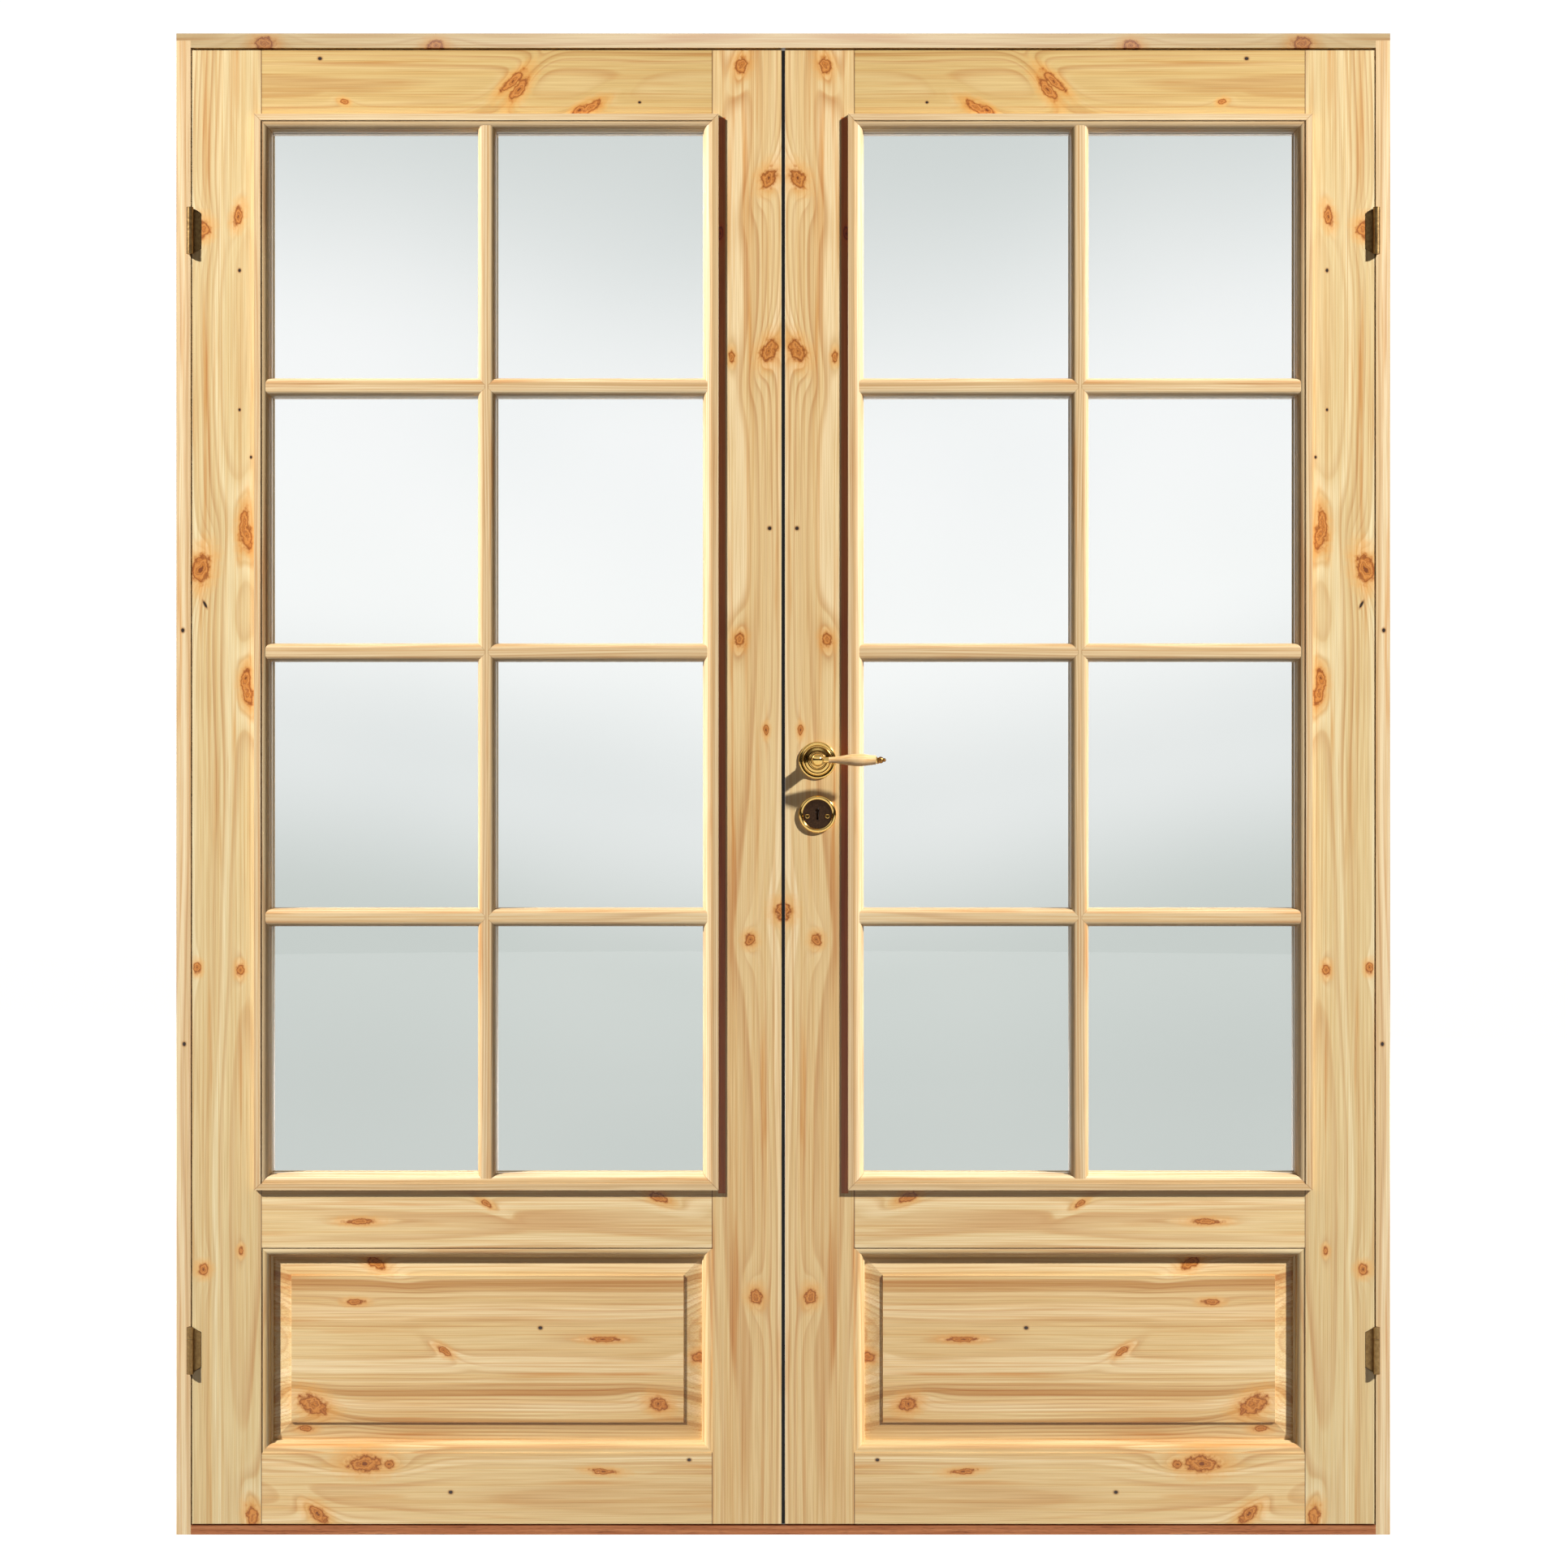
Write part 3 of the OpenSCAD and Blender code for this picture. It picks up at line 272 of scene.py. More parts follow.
# Each row runs from the tone of the fastest years to that of the slowest
PINE = ("#F0DBAF", "#E6CD9A", "#DABA85", "#C99F65")
YELLOW_PINE = ("#DFC892", "#D4B87C", "#C7A568", "#B38C50")
# The hinge stile's row is the pine row made darker: painted shade that tones down the stile nearest its
# lamp
SHADED_HINGE_PINE = ("#E5D6AC", "#DCC898", "#D1B583", "#C09B64")
PALE_PINE = ("#E8D6B0", "#DFC89F", "#D4B88B", "#C8A56F")


print("pine tones:", PINE)

# %% [markdown]
# The lacquer is thin and satin: a coat of its own, smoother than the wood below it, and a very low
# bump where the fibres telegraph through. A board is then the wood, the dark lines at its shoulders,
# the painted shadow of a bead beside it where there is one, and the lacquer.

# %% A lacquered board
SHOULDER = 0.4 * MM                    # half the width of the dark line on a shoulder
SHOULDER_FADE = 1.1 * MM
STRIP_FADE = 0.8 * MM
FIBRE_RELIEF = 0.15 * MM


def lacquered(tree, colour, height, strength=0.12, roughness=0.36):
    """A satin clear lacquer over wood: the fibres only just telegraph through it."""
    bump = add(tree, "Bump", {"Height": height, "Strength": strength, "Distance": FIBRE_RELIEF})
    return add(tree, "BsdfPrincipled", {"Base Color": colour, "Roughness": roughness,
                                        "Normal": bump.outputs[0], "IOR": 1.5,
                                        "Coat Weight": 0.25, "Coat Roughness": 0.22}).outputs[0]


def within(tree, value, low, high, soft):
    """1 where the value lies between low and high, falling to 0 outside over the soft distance."""
    middle = add(tree, "Math", {0: value, 1: (low + high) / 2}, operation="SUBTRACT").outputs[0]
    off = add(tree, "Math", {0: middle}, operation="ABSOLUTE").outputs[0]
    half = (high - low) / 2
    return add(tree, "MapRange", {0: off, 1: half, 2: half + soft, 3: 1.0, 4: 0.0}).outputs[0]


def pine(name, grain, heart, depth, seed, knots=(), tones=PINE, shoulders=(), shadow_band=()):
    """A board of lacquered pine, its grain along "x" or "z". heart, depth, shoulders in metres.

    The end grain at the shoulders of a rail drinks the lacquer and stays as a fine dark line.
    The shadow of a bead is painted beside it as a band darkened to brown, given as (low, high) across
    and (low, high) along.
    """
    material, tree = new_material(name)
    place = along_across(tree, grain)
    colour, fibre = wood_colour(tree, place, tones, heart, depth, knots, seed)
    split = add(tree, "SeparateXYZ", {0: place})
    for end in shoulders:
        near = within(tree, split.outputs["X"], end - SHOULDER, end + SHOULDER, SHOULDER_FADE)
        colour = mix(tree, near, colour, srgb("#6A4A2E"), "MULTIPLY")
    # painted shadow: darkens the band beside the bead to the brown of the bead's cast shadow
    if shadow_band:
        across = within(tree, split.outputs["Y"], *shadow_band[0], STRIP_FADE)
        length = within(tree, split.outputs["X"], *shadow_band[1], STRIP_FADE)
        shade_mask = add(tree, "Math", {0: across, 1: length}, operation="MULTIPLY").outputs[0]
        colour = mix(tree, shade_mask, colour, srgb("#F0A062"), "MULTIPLY")
    close(tree, lacquered(tree, colour, fibre))
    return material


print("shoulder lines", round((SHOULDER + SHOULDER_FADE) * 2000, 1), "mm wide with their fade")

# %% [markdown]
# Each board has its own heart line and its own knots. A knot is written as (along the grain, across
# the board, radius), in millimetres from the floor and from the line where the leaves meet. Where a
# branch was cut on the slant, two more numbers follow: how many times longer than wide the knot is,
# and its angle in degrees.

# %% The boards of a leaf
HINGE_STILE_KNOTS = [
    (1835, 759, 6, 2.2, -12), (1818, 808, 9, 1.3, 0), (1760, 757, 2.4), (1566, 757, 2.0),
    (1405, 751, 6, 4.0, -6), (1390, 747, 8, 2.2, 10), (1345, 811, 12, 1.7, -16),
    (1295, 805, 2, 3.2, 28), (1192, 748, 6, 2.6, -8), (1170, 746, 7, 2.4, 12),
    (789, 816, 5, 1.5, 0), (786, 756, 5, 1.6, 0), (369, 807, 7, 1.1, 0), (395, 755, 3.6, 1.6, 0),
    (26, 739, 8, 1.8, 10), (1500, 741, 2.0),
]
MEETING_STILE_KNOTS = [
    (2046, 58, 8, 1.45, -14), (1889, 20, 9.5, 1.5, -24), (1648, 20, 10, 1.6, -22),
    (1640, 72, 4, 2.0, 0), (1811, 88, 4, 2.4, 0), (1401, 19, 3.1, 1.0, 0), (1245, 61, 7, 1.35, -8),
    (868, 0, 11, 1.05, 0), (828, 46, 7, 1.15, 0), (331, 38, 8, 1.3, 8), (1120, 24, 3.6, 2.0, 0),
]
TOP_RAIL_KNOTS = [
    (376, 2024, 6, 3.4, -42), (368, 2012, 7, 2.6, -52), (270, 1986, 6, 3.0, -30),
    (284, 1983, 5, 2.6, -38), (645, 2055, 2.8), (611, 1995, 3.6, 1.6, 20), (200, 1994, 2.0),
]
MID_RAIL_KNOTS = [(174, 470, 6, 2.2, 24), (413, 461, 3.6, 2.4, 30), (590, 436, 4, 5.0, 0)]
BOTTOM_RAIL_KNOTS = [
    (583, 99, 11, 2.1, 0), (549, 98, 6, 1.2, 0), (463, 59, 2.8), (131, 104, 2.6),
    (648, 29, 8, 1.8, 38), (250, 88, 3.6, 5.0, 4),
]
PANEL_KNOTS = [
    (569, 376, 7, 2.0, 28), (597, 322, 4, 2.8, 0), (339, 286, 2.8), (473, 254, 4.5, 2.4, 32),
    (174, 180, 9, 1.4, 18), (656, 179, 12, 1.7, 26), (667, 145, 4, 2.8, 0), (118, 244, 7, 1.3, 0),
    (250, 270, 3.6, 6.0, 0),
]
stile_mid = (stile_low.x + stile_high.x) / 2
hinge_mid = (hinge_low.x + hinge_high.x) / 2
ends = (top_low.x, top_high.x)
# the 9 mm band on the meeting stile beside the bead, where the bead's shadow is painted
bead_shadow_place = ((bead_low.x - 9 * MM, bead_low.x), (bead_low.z - 5 * MM, bead_high.z - 4 * MM))
boards = {
    # the hinge stile takes the darker row: painted shade against the light of its lamp
    "hinge_stile": pine("pine_hinge_stile", "z", hinge_mid - 0.012, 0.085, 1.7,
                        HINGE_STILE_KNOTS, SHADED_HINGE_PINE),
    "meeting_stile": pine("pine_meeting_stile", "z", stile_mid + 0.008, 0.09, 4.1,
                          MEETING_STILE_KNOTS, shadow_band=bead_shadow_place),
    "top_rail": pine("pine_top_rail", "x", (top_low.z + top_high.z) / 2, 0.075, 6.3,
                     TOP_RAIL_KNOTS, YELLOW_PINE, ends),
    "mid_rail": pine("pine_mid_rail", "x", (mid_low.z + mid_high.z) / 2, 0.085, 8.8,
                     MID_RAIL_KNOTS, PINE, ends),
    "bottom_rail": pine("pine_bottom_rail", "x", 0.055, 0.08, 9.6, BOTTOM_RAIL_KNOTS, PINE, ends),
}
print("boards:", ", ".join(boards))

# %% [markdown]
# The panel is glued up from boards about 95 mm wide, laid side by side with the grain across the
# door. Each board comes from another part of a trunk, so its tone differs a little. The finish counts
# the boards, reads its tone from another place for each of them, and draws a thin line at each joint.

# %% The glued panel
GLUED_BOARD = 96 * MM
PANEL_HEART = (0.27, 0.11)             # height of the heart line, and its depth behind the face


def glued_panel(name, knots):
    """Pine boards glued edge to edge, grain along x."""
    material, tree = new_material(name)
    place = along_across(tree, "x")
    split = add(tree, "SeparateXYZ", {0: place})
    count = add(tree, "Math", {0: split.outputs["Y"], 1: 1 / GLUED_BOARD},
                operation="MULTIPLY").outputs[0]
    board = add(tree, "Math", {0: count}, operation="FLOOR").outputs[0]
    jump = add(tree, "Math", {0: board, 1: 0.37}, operation="MULTIPLY").outputs[0]
    shift = add(tree, "CombineXYZ", {0: jump, 1: 0.0, 2: jump}).outputs[0]
    moved = add(tree, "VectorMath", {0: place, 1: shift}, operation="ADD").outputs[0]
    extra = add(tree, "TexNoise", {"Vector": moved, "Scale": 3.0, "Detail": 1.0}).outputs["Fac"]
    colour, fibre = wood_colour(tree, place, PINE, *PANEL_HEART, knots, 12.4)
    tone = ramp(tree, extra, [(0.35, "#F4E6D2"), (0.65, "#FFFFFF")]).outputs["Color"]
    colour = mix(tree, 0.8, colour, tone, "MULTIPLY")
    part = add(tree, "Math", {0: count}, operation="FRACT").outputs[0]
    seam = ramp(tree, part, [(0.0, "#B98C55"), (0.006, "#FFFFFF")]).outputs["Color"]
    colour = mix(tree, 0.5, colour, seam, "MULTIPLY")
    close(tree, lacquered(tree, colour, fibre))
    return material


boards["panel"] = glued_panel("pine_panel", PANEL_KNOTS)
print("panel of boards", round(GLUED_BOARD * 1000), "mm wide")

# %% [markdown]
# The glazing beads form a mitred frame and the bars cross in the middle, so one mesh holds pieces
# whose grain runs up and pieces whose grain runs across. The finish decides for each point which of
# the two it is in: at a mitre the distance to the upright edge equals the distance to the level one.
# A fine dark line marks the joint.

# %% Beads and bars
MITRE_LINE = 0.9 * MM
CROSSING_LINE = 0.7 * MM


def two_way(name, upright, seam, seed):
    """Pine whose grain is upright where `upright` is 1, and level where it is 0."""
    material, tree = new_material(name)
    mask, line = upright(tree)
    places = [along_across(tree, "x"), along_across(tree, "z")]
    node = add(tree, "Mix", {"Factor": mask}, data_type="VECTOR")
    tree.links.new(places[0], node.inputs[4])
    tree.links.new(places[1], node.inputs[5])
    colour, fibre = wood_colour(tree, node.outputs[1], PALE_PINE, 0.9, 0.3, (), seed)
    dark = ramp(tree, line, [(0.0, "#9A6B38"), (1.0, "#FFFFFF")]).outputs["Color"]
    colour = mix(tree, seam, colour, dark, "MULTIPLY")
    close(tree, lacquered(tree, colour, fibre))
    return material


def from_middle(tree, middle, axis):
    """The distance from a middle plane along an axis, of the mirrored position."""
    place = add(tree, "TexCoord").outputs["Object"]
    place = add(tree, "VectorMath", {0: place}, operation="ABSOLUTE").outputs[0]
    value = add(tree, "SeparateXYZ", {0: place}).outputs[axis]
    off = add(tree, "Math", {0: value, 1: middle}, operation="SUBTRACT").outputs[0]
    return add(tree, "Math", {0: off}, operation="ABSOLUTE").outputs[0]


def mitred_frame(tree):
    """1 in the upright beads. The second output falls to 0 on the mitre line."""
    half_x = (bead_high.x - bead_low.x) / 2
    half_z = (bead_high.z - bead_low.z) / 2
    off_x = from_middle(tree, (bead_high.x + bead_low.x) / 2, "X")
    off_z = from_middle(tree, (bead_high.z + bead_low.z) / 2, "Z")
    edge_x = add(tree, "Math", {0: half_x, 1: off_x}, operation="SUBTRACT").outputs[0]
    edge_z = add(tree, "Math", {0: half_z, 1: off_z}, operation="SUBTRACT").outputs[0]
    apart = add(tree, "Math", {0: edge_z, 1: edge_x}, operation="SUBTRACT").outputs[0]
    mask = add(tree, "Math", {0: apart, 1: 0.0}, operation="GREATER_THAN").outputs[0]
    size = add(tree, "Math", {0: apart}, operation="ABSOLUTE").outputs[0]
    line = add(tree, "MapRange", {0: size, 1: 0.0, 2: MITRE_LINE}).outputs[0]
    return mask, line


BAR_ROWS = 4
BEAD_IN = 22 * MM                      # a bead covers this much, from its outer edge to the glass
BAR_WIDTH = 25 * MM
BAR_TOP = 9.5 * MM                     # the flat on top of a bar, between its two rounds
sight_low = bead_low.z + BEAD_IN
sight_high = bead_high.z - BEAD_IN
row_pitch = (sight_high - sight_low + BAR_WIDTH) / BAR_ROWS
first_row = sight_low + row_pitch - BAR_WIDTH / 2


def crossing_bars(tree):
    """1 in the upright bar, with points at 45 degrees where a level bar meets it."""
    off_x = from_middle(tree, glass_mid_x, "X")
    place = add(tree, "TexCoord").outputs["Object"]
    z = add(tree, "SeparateXYZ", {0: place}).outputs["Z"]
    from_row = add(tree, "Math", {0: z, 1: first_row}, operation="SUBTRACT").outputs[0]
    off_z = add(tree, "Math", {0: from_row, 1: row_pitch / 2}, operation="PINGPONG").outputs[0]
    reach = add(tree, "Math", {0: off_z, 1: BAR_TOP / 4}, operation="MAXIMUM").outputs[0]
    apart = add(tree, "Math", {0: reach, 1: off_x}, operation="SUBTRACT").outputs[0]
    mask = add(tree, "Math", {0: apart, 1: 0.0}, operation="GREATER_THAN").outputs[0]
    size = add(tree, "Math", {0: apart}, operation="ABSOLUTE").outputs[0]
    line = add(tree, "MapRange", {0: size, 1: 0.0, 2: CROSSING_LINE}).outputs[0]
    return mask, line


boards["beads"] = two_way("pine_beads", mitred_frame, 0.7, 3.3)
boards["bars"] = two_way("pine_glazing_bars", crossing_bars, 0.5, 5.9)
print("bars every", round(row_pitch * 1000, 1), "mm")

# %% [markdown]
# The jambs were sawn from paler sapwood, a little pink beside the amber leaves; the head has the
# leaves' own tones. The threshold takes the wear, so it is of a hard reddish wood, oiled rather
# than lacquered: rougher, darker, with short open pores along the grain.

# %% Frame and threshold
boards["jamb"] = pine("pale_pine_jamb", "z", 0.86, 0.05, 15.2, [(1259, 836, 2.8), (683, 834, 2.8)],
                      PALE_PINE)
boards["head"] = pine("pine_head", "x", 2.09, 0.06, 17.9,
                      [(722, 2075, 10, 1.3, 0), (484, 2073, 7, 1.6, 0)])
HARDWOOD_GRAIN = (5.0, 260.0, 260.0)   # streaks 200 by 4 mm
PORES = (60.0, 1400.0, 1400.0)         # open pores, 17 by 0.7 mm


def oiled_hardwood(name):
    """Reddish hardwood with open pores, oiled."""
    material, tree = new_material(name)
    place = along_across(tree, "x")
    stretched = add(tree, "VectorMath", {0: place, 1: HARDWOOD_GRAIN},
                    operation="MULTIPLY").outputs[0]
    tone = add(tree, "TexNoise", {"Vector": stretched, "Scale": 1.0, "Detail": 4.0}).outputs["Fac"]
    colour = ramp(tree, tone, [(0.28, "#B4663A"), (0.5, "#D28454"),
                               (0.72, "#EAA26C")]).outputs["Color"]
    fine = add(tree, "VectorMath", {0: place, 1: PORES}, operation="MULTIPLY").outputs[0]
    pores = add(tree, "TexNoise", {"Vector": fine, "Scale": 1.0, "Detail": 1.0}).outputs["Fac"]
    dark = ramp(tree, pores, [(0.30, "#7A4024"), (0.42, "#FFFFFF")]).outputs["Color"]
    colour = mix(tree, 0.6, colour, dark, "MULTIPLY")
    bump = add(tree, "Bump", {"Height": pores, "Strength": 0.3, "Distance": 0.2 * MM}).outputs[0]
    close(tree, add(tree, "BsdfPrincipled", {"Base Color": colour, "Roughness": 0.5,
                                             "Normal": bump}).outputs[0])
    return material


boards["threshold"] = oiled_hardwood("oiled_hardwood")
print("frame finishes ready")

# %% [markdown]
# ## Glass
# Clear float glass, 4 mm thick. A trace of iron gives it a faint green. Old habits would make it blue
# or opaque: real glass is nearly invisible face on, and shows by what it reflects and lets through.
# It is smooth and even, so it has no bump. Its tint only varies a little from one pane to the next.

# %% Float glass
TINT_CLOUDS = 2.4                      # per metre: one is about 400 mm, a little more than a pane


def float_glass(name):
    """Clear glass with a faint green body colour."""
    material, tree = new_material(name)
    place = add(tree, "TexCoord").outputs["Object"]
    cloud = add(tree, "TexNoise", {"Vector": place, "Scale": TINT_CLOUDS, "Detail": 1.0}).outputs["Fac"]
    tint = ramp(tree, cloud, [(0.3, "#F1F4F3"), (0.7, "#F6F8F7")]).outputs["Color"]
    close(tree, add(tree, "BsdfPrincipled", {
        "Base Color": tint, "Roughness": 0.01, "IOR": 1.52, "Transmission Weight": 1.0}).outputs[0])
    return material


glass = float_glass("float_glass")
print("glass ready")

# %% [markdown]
# ## Metal and rubber
# The handle and the roses are turned brass, polished: yellow, with sharp highlights and a hint of
# polishing marks. The hinges are bronzed steel, which gives a dull brown film with a brassy shine.
# The parts of the lock are zinc plated, with marks drawn up and down. Inside the key escutcheon the
# brass was left dark. The seals are black extruded rubber. `mark_scale` counts the marks in a metre,
# so 900 gives marks 1.1 mm wide: real polishing marks are finer, and wouldn't show.

# %% Metals and rubber
MARK_DEPTH = 0.05 * MM
RUBBER_BLOOM = 300.0                   # per metre: specks of 3 mm


def metal(name, colours, roughness, mark_scale, mark_strength, streak=(1.0, 1.0, 1.0)):
    """A metal whose tone and roughness vary with marks of the given scale."""
    material, tree = new_material(name)
    place = add(tree, "TexCoord").outputs["Object"]
    drawn = add(tree, "VectorMath", {0: place, 1: streak}, operation="MULTIPLY").outputs[0]
    marks = add(tree, "TexNoise", {"Vector": drawn, "Scale": mark_scale, "Detail": 4.0}).outputs["Fac"]
    colour = ramp(tree, marks, [(0.3, colours[0]), (0.7, colours[1])]).outputs["Color"]
    rough = add(tree, "MapRange", {0: marks, 3: roughness[0], 4: roughness[1]}).outputs[0]
    bump = add(tree, "Bump", {"Height": marks, "Strength": mark_strength,
                              "Distance": MARK_DEPTH})
    close(tree, add(tree, "BsdfPrincipled", {
        "Base Color": colour, "Metallic": 1.0, "Roughness": rough,
        "Normal": bump.outputs[0]}).outputs[0])
    return material


brass = metal("polished_brass", ("#D2AB5E", "#E2BF76"), (0.06, 0.14), 900.0, 0.05)
dark_brass = metal("darkened_brass", ("#3E2E24", "#57402F"), (0.3, 0.5), 700.0, 0.15)
old_brass = metal("brass_finial", ("#7A552C", "#9A6F3A"), (0.15, 0.3), 700.0, 0.05)
plated = metal("bronzed_steel", ("#7A5E3A", "#967A4E"), (0.30, 0.48), 260.0, 0.1)
zinc = metal("bright_zinc", ("#A9ABA9", "#C2C4C2"), (0.25, 0.4), 400.0, 0.1, (1.0, 1.0, 0.1))


def black_rubber(name):
    """Extruded rubber: black, with a dull bloom."""
    material, tree = new_material(name)
    place = add(tree, "TexCoord").outputs["Object"]
    bloom = add(tree, "TexNoise", {"Vector": place, "Scale": RUBBER_BLOOM, "Detail": 3.0}).outputs["Fac"]
    colour = ramp(tree, bloom, [(0.3, "#0C0B0B"), (0.7, "#1B1918")]).outputs["Color"]
    bump = add(tree, "Bump", {"Height": bloom, "Strength": 0.2, "Distance": 0.1 * MM}).outputs[0]
    close(tree, add(tree, "BsdfPrincipled", {"Base Color": colour, "Roughness": 0.75,
                                             "Normal": bump}).outputs[0])
    return material


rubber = black_rubber("black_rubber")
print("metals and rubber ready")

# %% [markdown]
# The grip is turned from a straight piece of beech and lacquered. Its grain runs along it, in streaks
# that are much longer than wide. The finish is solid here too, so the long ovals where the lathe cut
# through the streaks come by themselves from the round shape. The dowels are of the same beech.

# %% Turned grip
BEECH_GRAIN = (18.0, 420.0, 420.0)     # streaks 56 by 2.4 mm
grip_low, grip_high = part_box("front_grip")


def turned_grip(name):
    """Lacquered beech, its grain along x."""
    material, tree = new_material(name)
    place = add(tree, "TexCoord").outputs["Object"]
    stretched = add(tree, "VectorMath", {0: place, 1: BEECH_GRAIN}, operation="MULTIPLY").outputs[0]
    tone = add(tree, "TexNoise", {"Vector": stretched, "Scale": 1.0, "Detail": 3.0}).outputs["Fac"]
    colour = ramp(tree, tone, [(0.3, "#D9A768"), (0.55, "#EAC48C"),
                               (0.8, "#F1D3A2")]).outputs["Color"]
    close(tree, lacquered(tree, colour, tone, 0.06, 0.28))
    return material


grip_wood = turned_grip("turned_beech")
print("grip", round((grip_high.x - grip_low.x) * 1000, 1), "mm long")

# %% [markdown]
# ## Putting the finishes on
# Each piece gets its finish by name. A planed board has no sharp edge: a plane or a sheet of
# sandpaper takes about a millimetre off it, and that small round is what catches the light. A bevel
# modifier gives every board that edge without touching its size. Round pieces are shaded smooth.

# %% Helpers for a finish and an edge
def dress(node, material):
    """Gives a piece one finish all over."""
    mesh = nodes[node].data
    mesh.materials.clear()
    mesh.materials.append(material)


def soften(node, width, segments=2, limit=38):
    """Rounds the edges that are sharper than the limit."""
    bevel = nodes[node].modifiers.new("worn edge", "BEVEL")
    bevel.width = width
    bevel.segments = segments
    bevel.limit_method = "ANGLE"
    bevel.angle_limit = math.radians(limit)
    bevel.use_clamp_overlap = True


def smooth(node, angle=35):
    """Shades the round surfaces as round, and keeps edges sharper than the angle."""
    piece = nodes[node]
    for face in piece.data.polygons:
        face.use_smooth = True
    with bpy.context.temp_override(object=piece, active_object=piece, selected_objects=[piece],
                                   selected_editable_objects=[piece]):
        bpy.ops.object.shade_auto_smooth(angle=math.radians(angle))


print("pieces to dress:", len(nodes))

# %% Give every piece its finish
for side in ("left", "right"):
    for board in ("hinge_stile", "meeting_stile", "top_rail", "mid_rail", "bottom_rail", "panel"):
        dress(f"{side}_{board}", boards[board])
    for face in ("front", "back"):
        dress(f"{side}_{face}_beads", boards["beads"])
        dress(f"{side}_{face}_bars", boards["bars"])
    dress(f"{side}_glass", glass)
    dress(f"{side}_dowels", grip_wood)
    dress(f"{side}_upper_hinge", plated)
    dress(f"{side}_lower_hinge", plated)
    dress(f"{side}_screws", zinc)
    dress(f"jamb_{side}", boards["jamb"])
    dress(f"jamb_hinge_{side}_upper", plated)
    dress(f"jamb_hinge_{side}_lower", plated)
dress("frame_head", boards["head"])
dress("threshold", boards["threshold"])
for node in ("jamb_stop_left", "jamb_stop_right"):
    dress(node, boards["jamb"])
dress("head_stop", boards["head"])
dress("threshold_stop", boards["threshold"])
for node in ("frame_screws", "head_keep", "sill_keep", "strike_plate", "lock_case", "latch_bolt",
             "dead_bolt", "spindle"):
    dress(node, zinc)
for node in ("front_rose", "back_rose", "front_escutcheon", "back_escutcheon", "escutcheon_screws",
             "front_lever", "back_lever", "flush_bolt_plates", "upper_flush_bolt",
             "lower_flush_bolt"):
    dress(node, brass)
for node in ("front_grip", "back_grip"):
    dress(node, grip_wood)
for node in ("frame_seal", "meeting_seal"):
    dress(node, rubber)
for name, piece in nodes.items():
    if not piece.data.materials or piece.data.materials[0] is None:
        print("no finish yet on", name)
print("dressed", len(nodes), "pieces")

# %% Edges
for side in ("left", "right"):
    for board in ("hinge_stile", "meeting_stile", "top_rail", "mid_rail", "bottom_rail"):
        soften(f"{side}_{board}", 0.8 * MM)
    soften(f"{side}_panel", 0.6 * MM, limit=30)
    for face in ("front", "back"):
        soften(f"{side}_{face}_beads", 0.5 * MM)
    soften(f"jamb_{side}", 0.9 * MM)
for node in ("frame_head", "head_stop", "jamb_stop_left", "jamb_stop_right", "threshold_stop"):
    soften(node, 0.9 * MM)
soften("threshold", 1.5 * MM, 3)
for node in nodes:
    smooth(node)
print("edges softened")

# %% [markdown]
# The dark dish of the key escutcheon and the finial at the end of the lever are part of larger brass
# pieces. They get their own finish by face: each face is judged by where its middle lies.

# %% Dark dish and finials
RIM = 6 * MM
FINIAL = 12 * MM


def repaint(node, material, chosen):
    """Gives the faces of a piece whose middle is chosen another finish."""
    mesh = nodes[node].data
    mesh.materials.append(material)
    count = 0
    for face in mesh.polygons:
        if chosen(face.center):
            face.material_index = len(mesh.materials) - 1
            count += 1
    print(node, count, "faces repainted")


plate_middle = (plate_low + plate_high) / 2
dish_radius = (plate_high.x - plate_low.x) / 2 - RIM
for node in ("front_escutcheon", "back_escutcheon"):
    repaint(node, dark_brass, lambda p: math.hypot(p.x - plate_middle.x, p.z - plate_middle.z)
            < dish_radius - 0.2 * MM)
for node in ("front_lever", "back_lever"):
    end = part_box(node)[1].x
    repaint(node, old_brass, lambda p, end=end: p.x > end - FINIAL)

# %% [markdown]
# ## Two small pieces
# A thin black fin stands on the edge of the left leaf, in front of the meeting seal, and closes the
# gap to the light. The levers of the lock close the keyway. Both are plain prisms, so one helper
# makes them from a flat outline. The fin stops just short of the right leaf, so the leaves can part.

# %% Fin and lock levers
def prism(name, outline, low, high, axis, body, material):
    """A piece with a flat outline, from low to high along "z" (upright) or "y" (into the door)."""
    mesh = bmesh.new()
    rings = []
    for depth in (low, high):
        corners = [(u, v, depth) if axis == "z" else (u, depth, v) for u, v in outline]
        rings.append([mesh.verts.new(corner) for corner in corners])
    mesh.faces.new(rings[0])
    mesh.faces.new(rings[1])
    for i in range(len(outline)):
        j = (i + 1) % len(outline)
        mesh.faces.new((rings[0][i], rings[0][j], rings[1][j], rings[1][i]))
    bmesh.ops.recalc_face_normals(mesh, faces=mesh.faces[:])
    data = bpy.data.meshes.new(name)
    mesh.to_mesh(data)
    mesh.free()
    data.materials.append(material)
    piece = bpy.data.objects.new(name, data)
    scene.collection.objects.link(piece)
    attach(piece, body)
    return piece


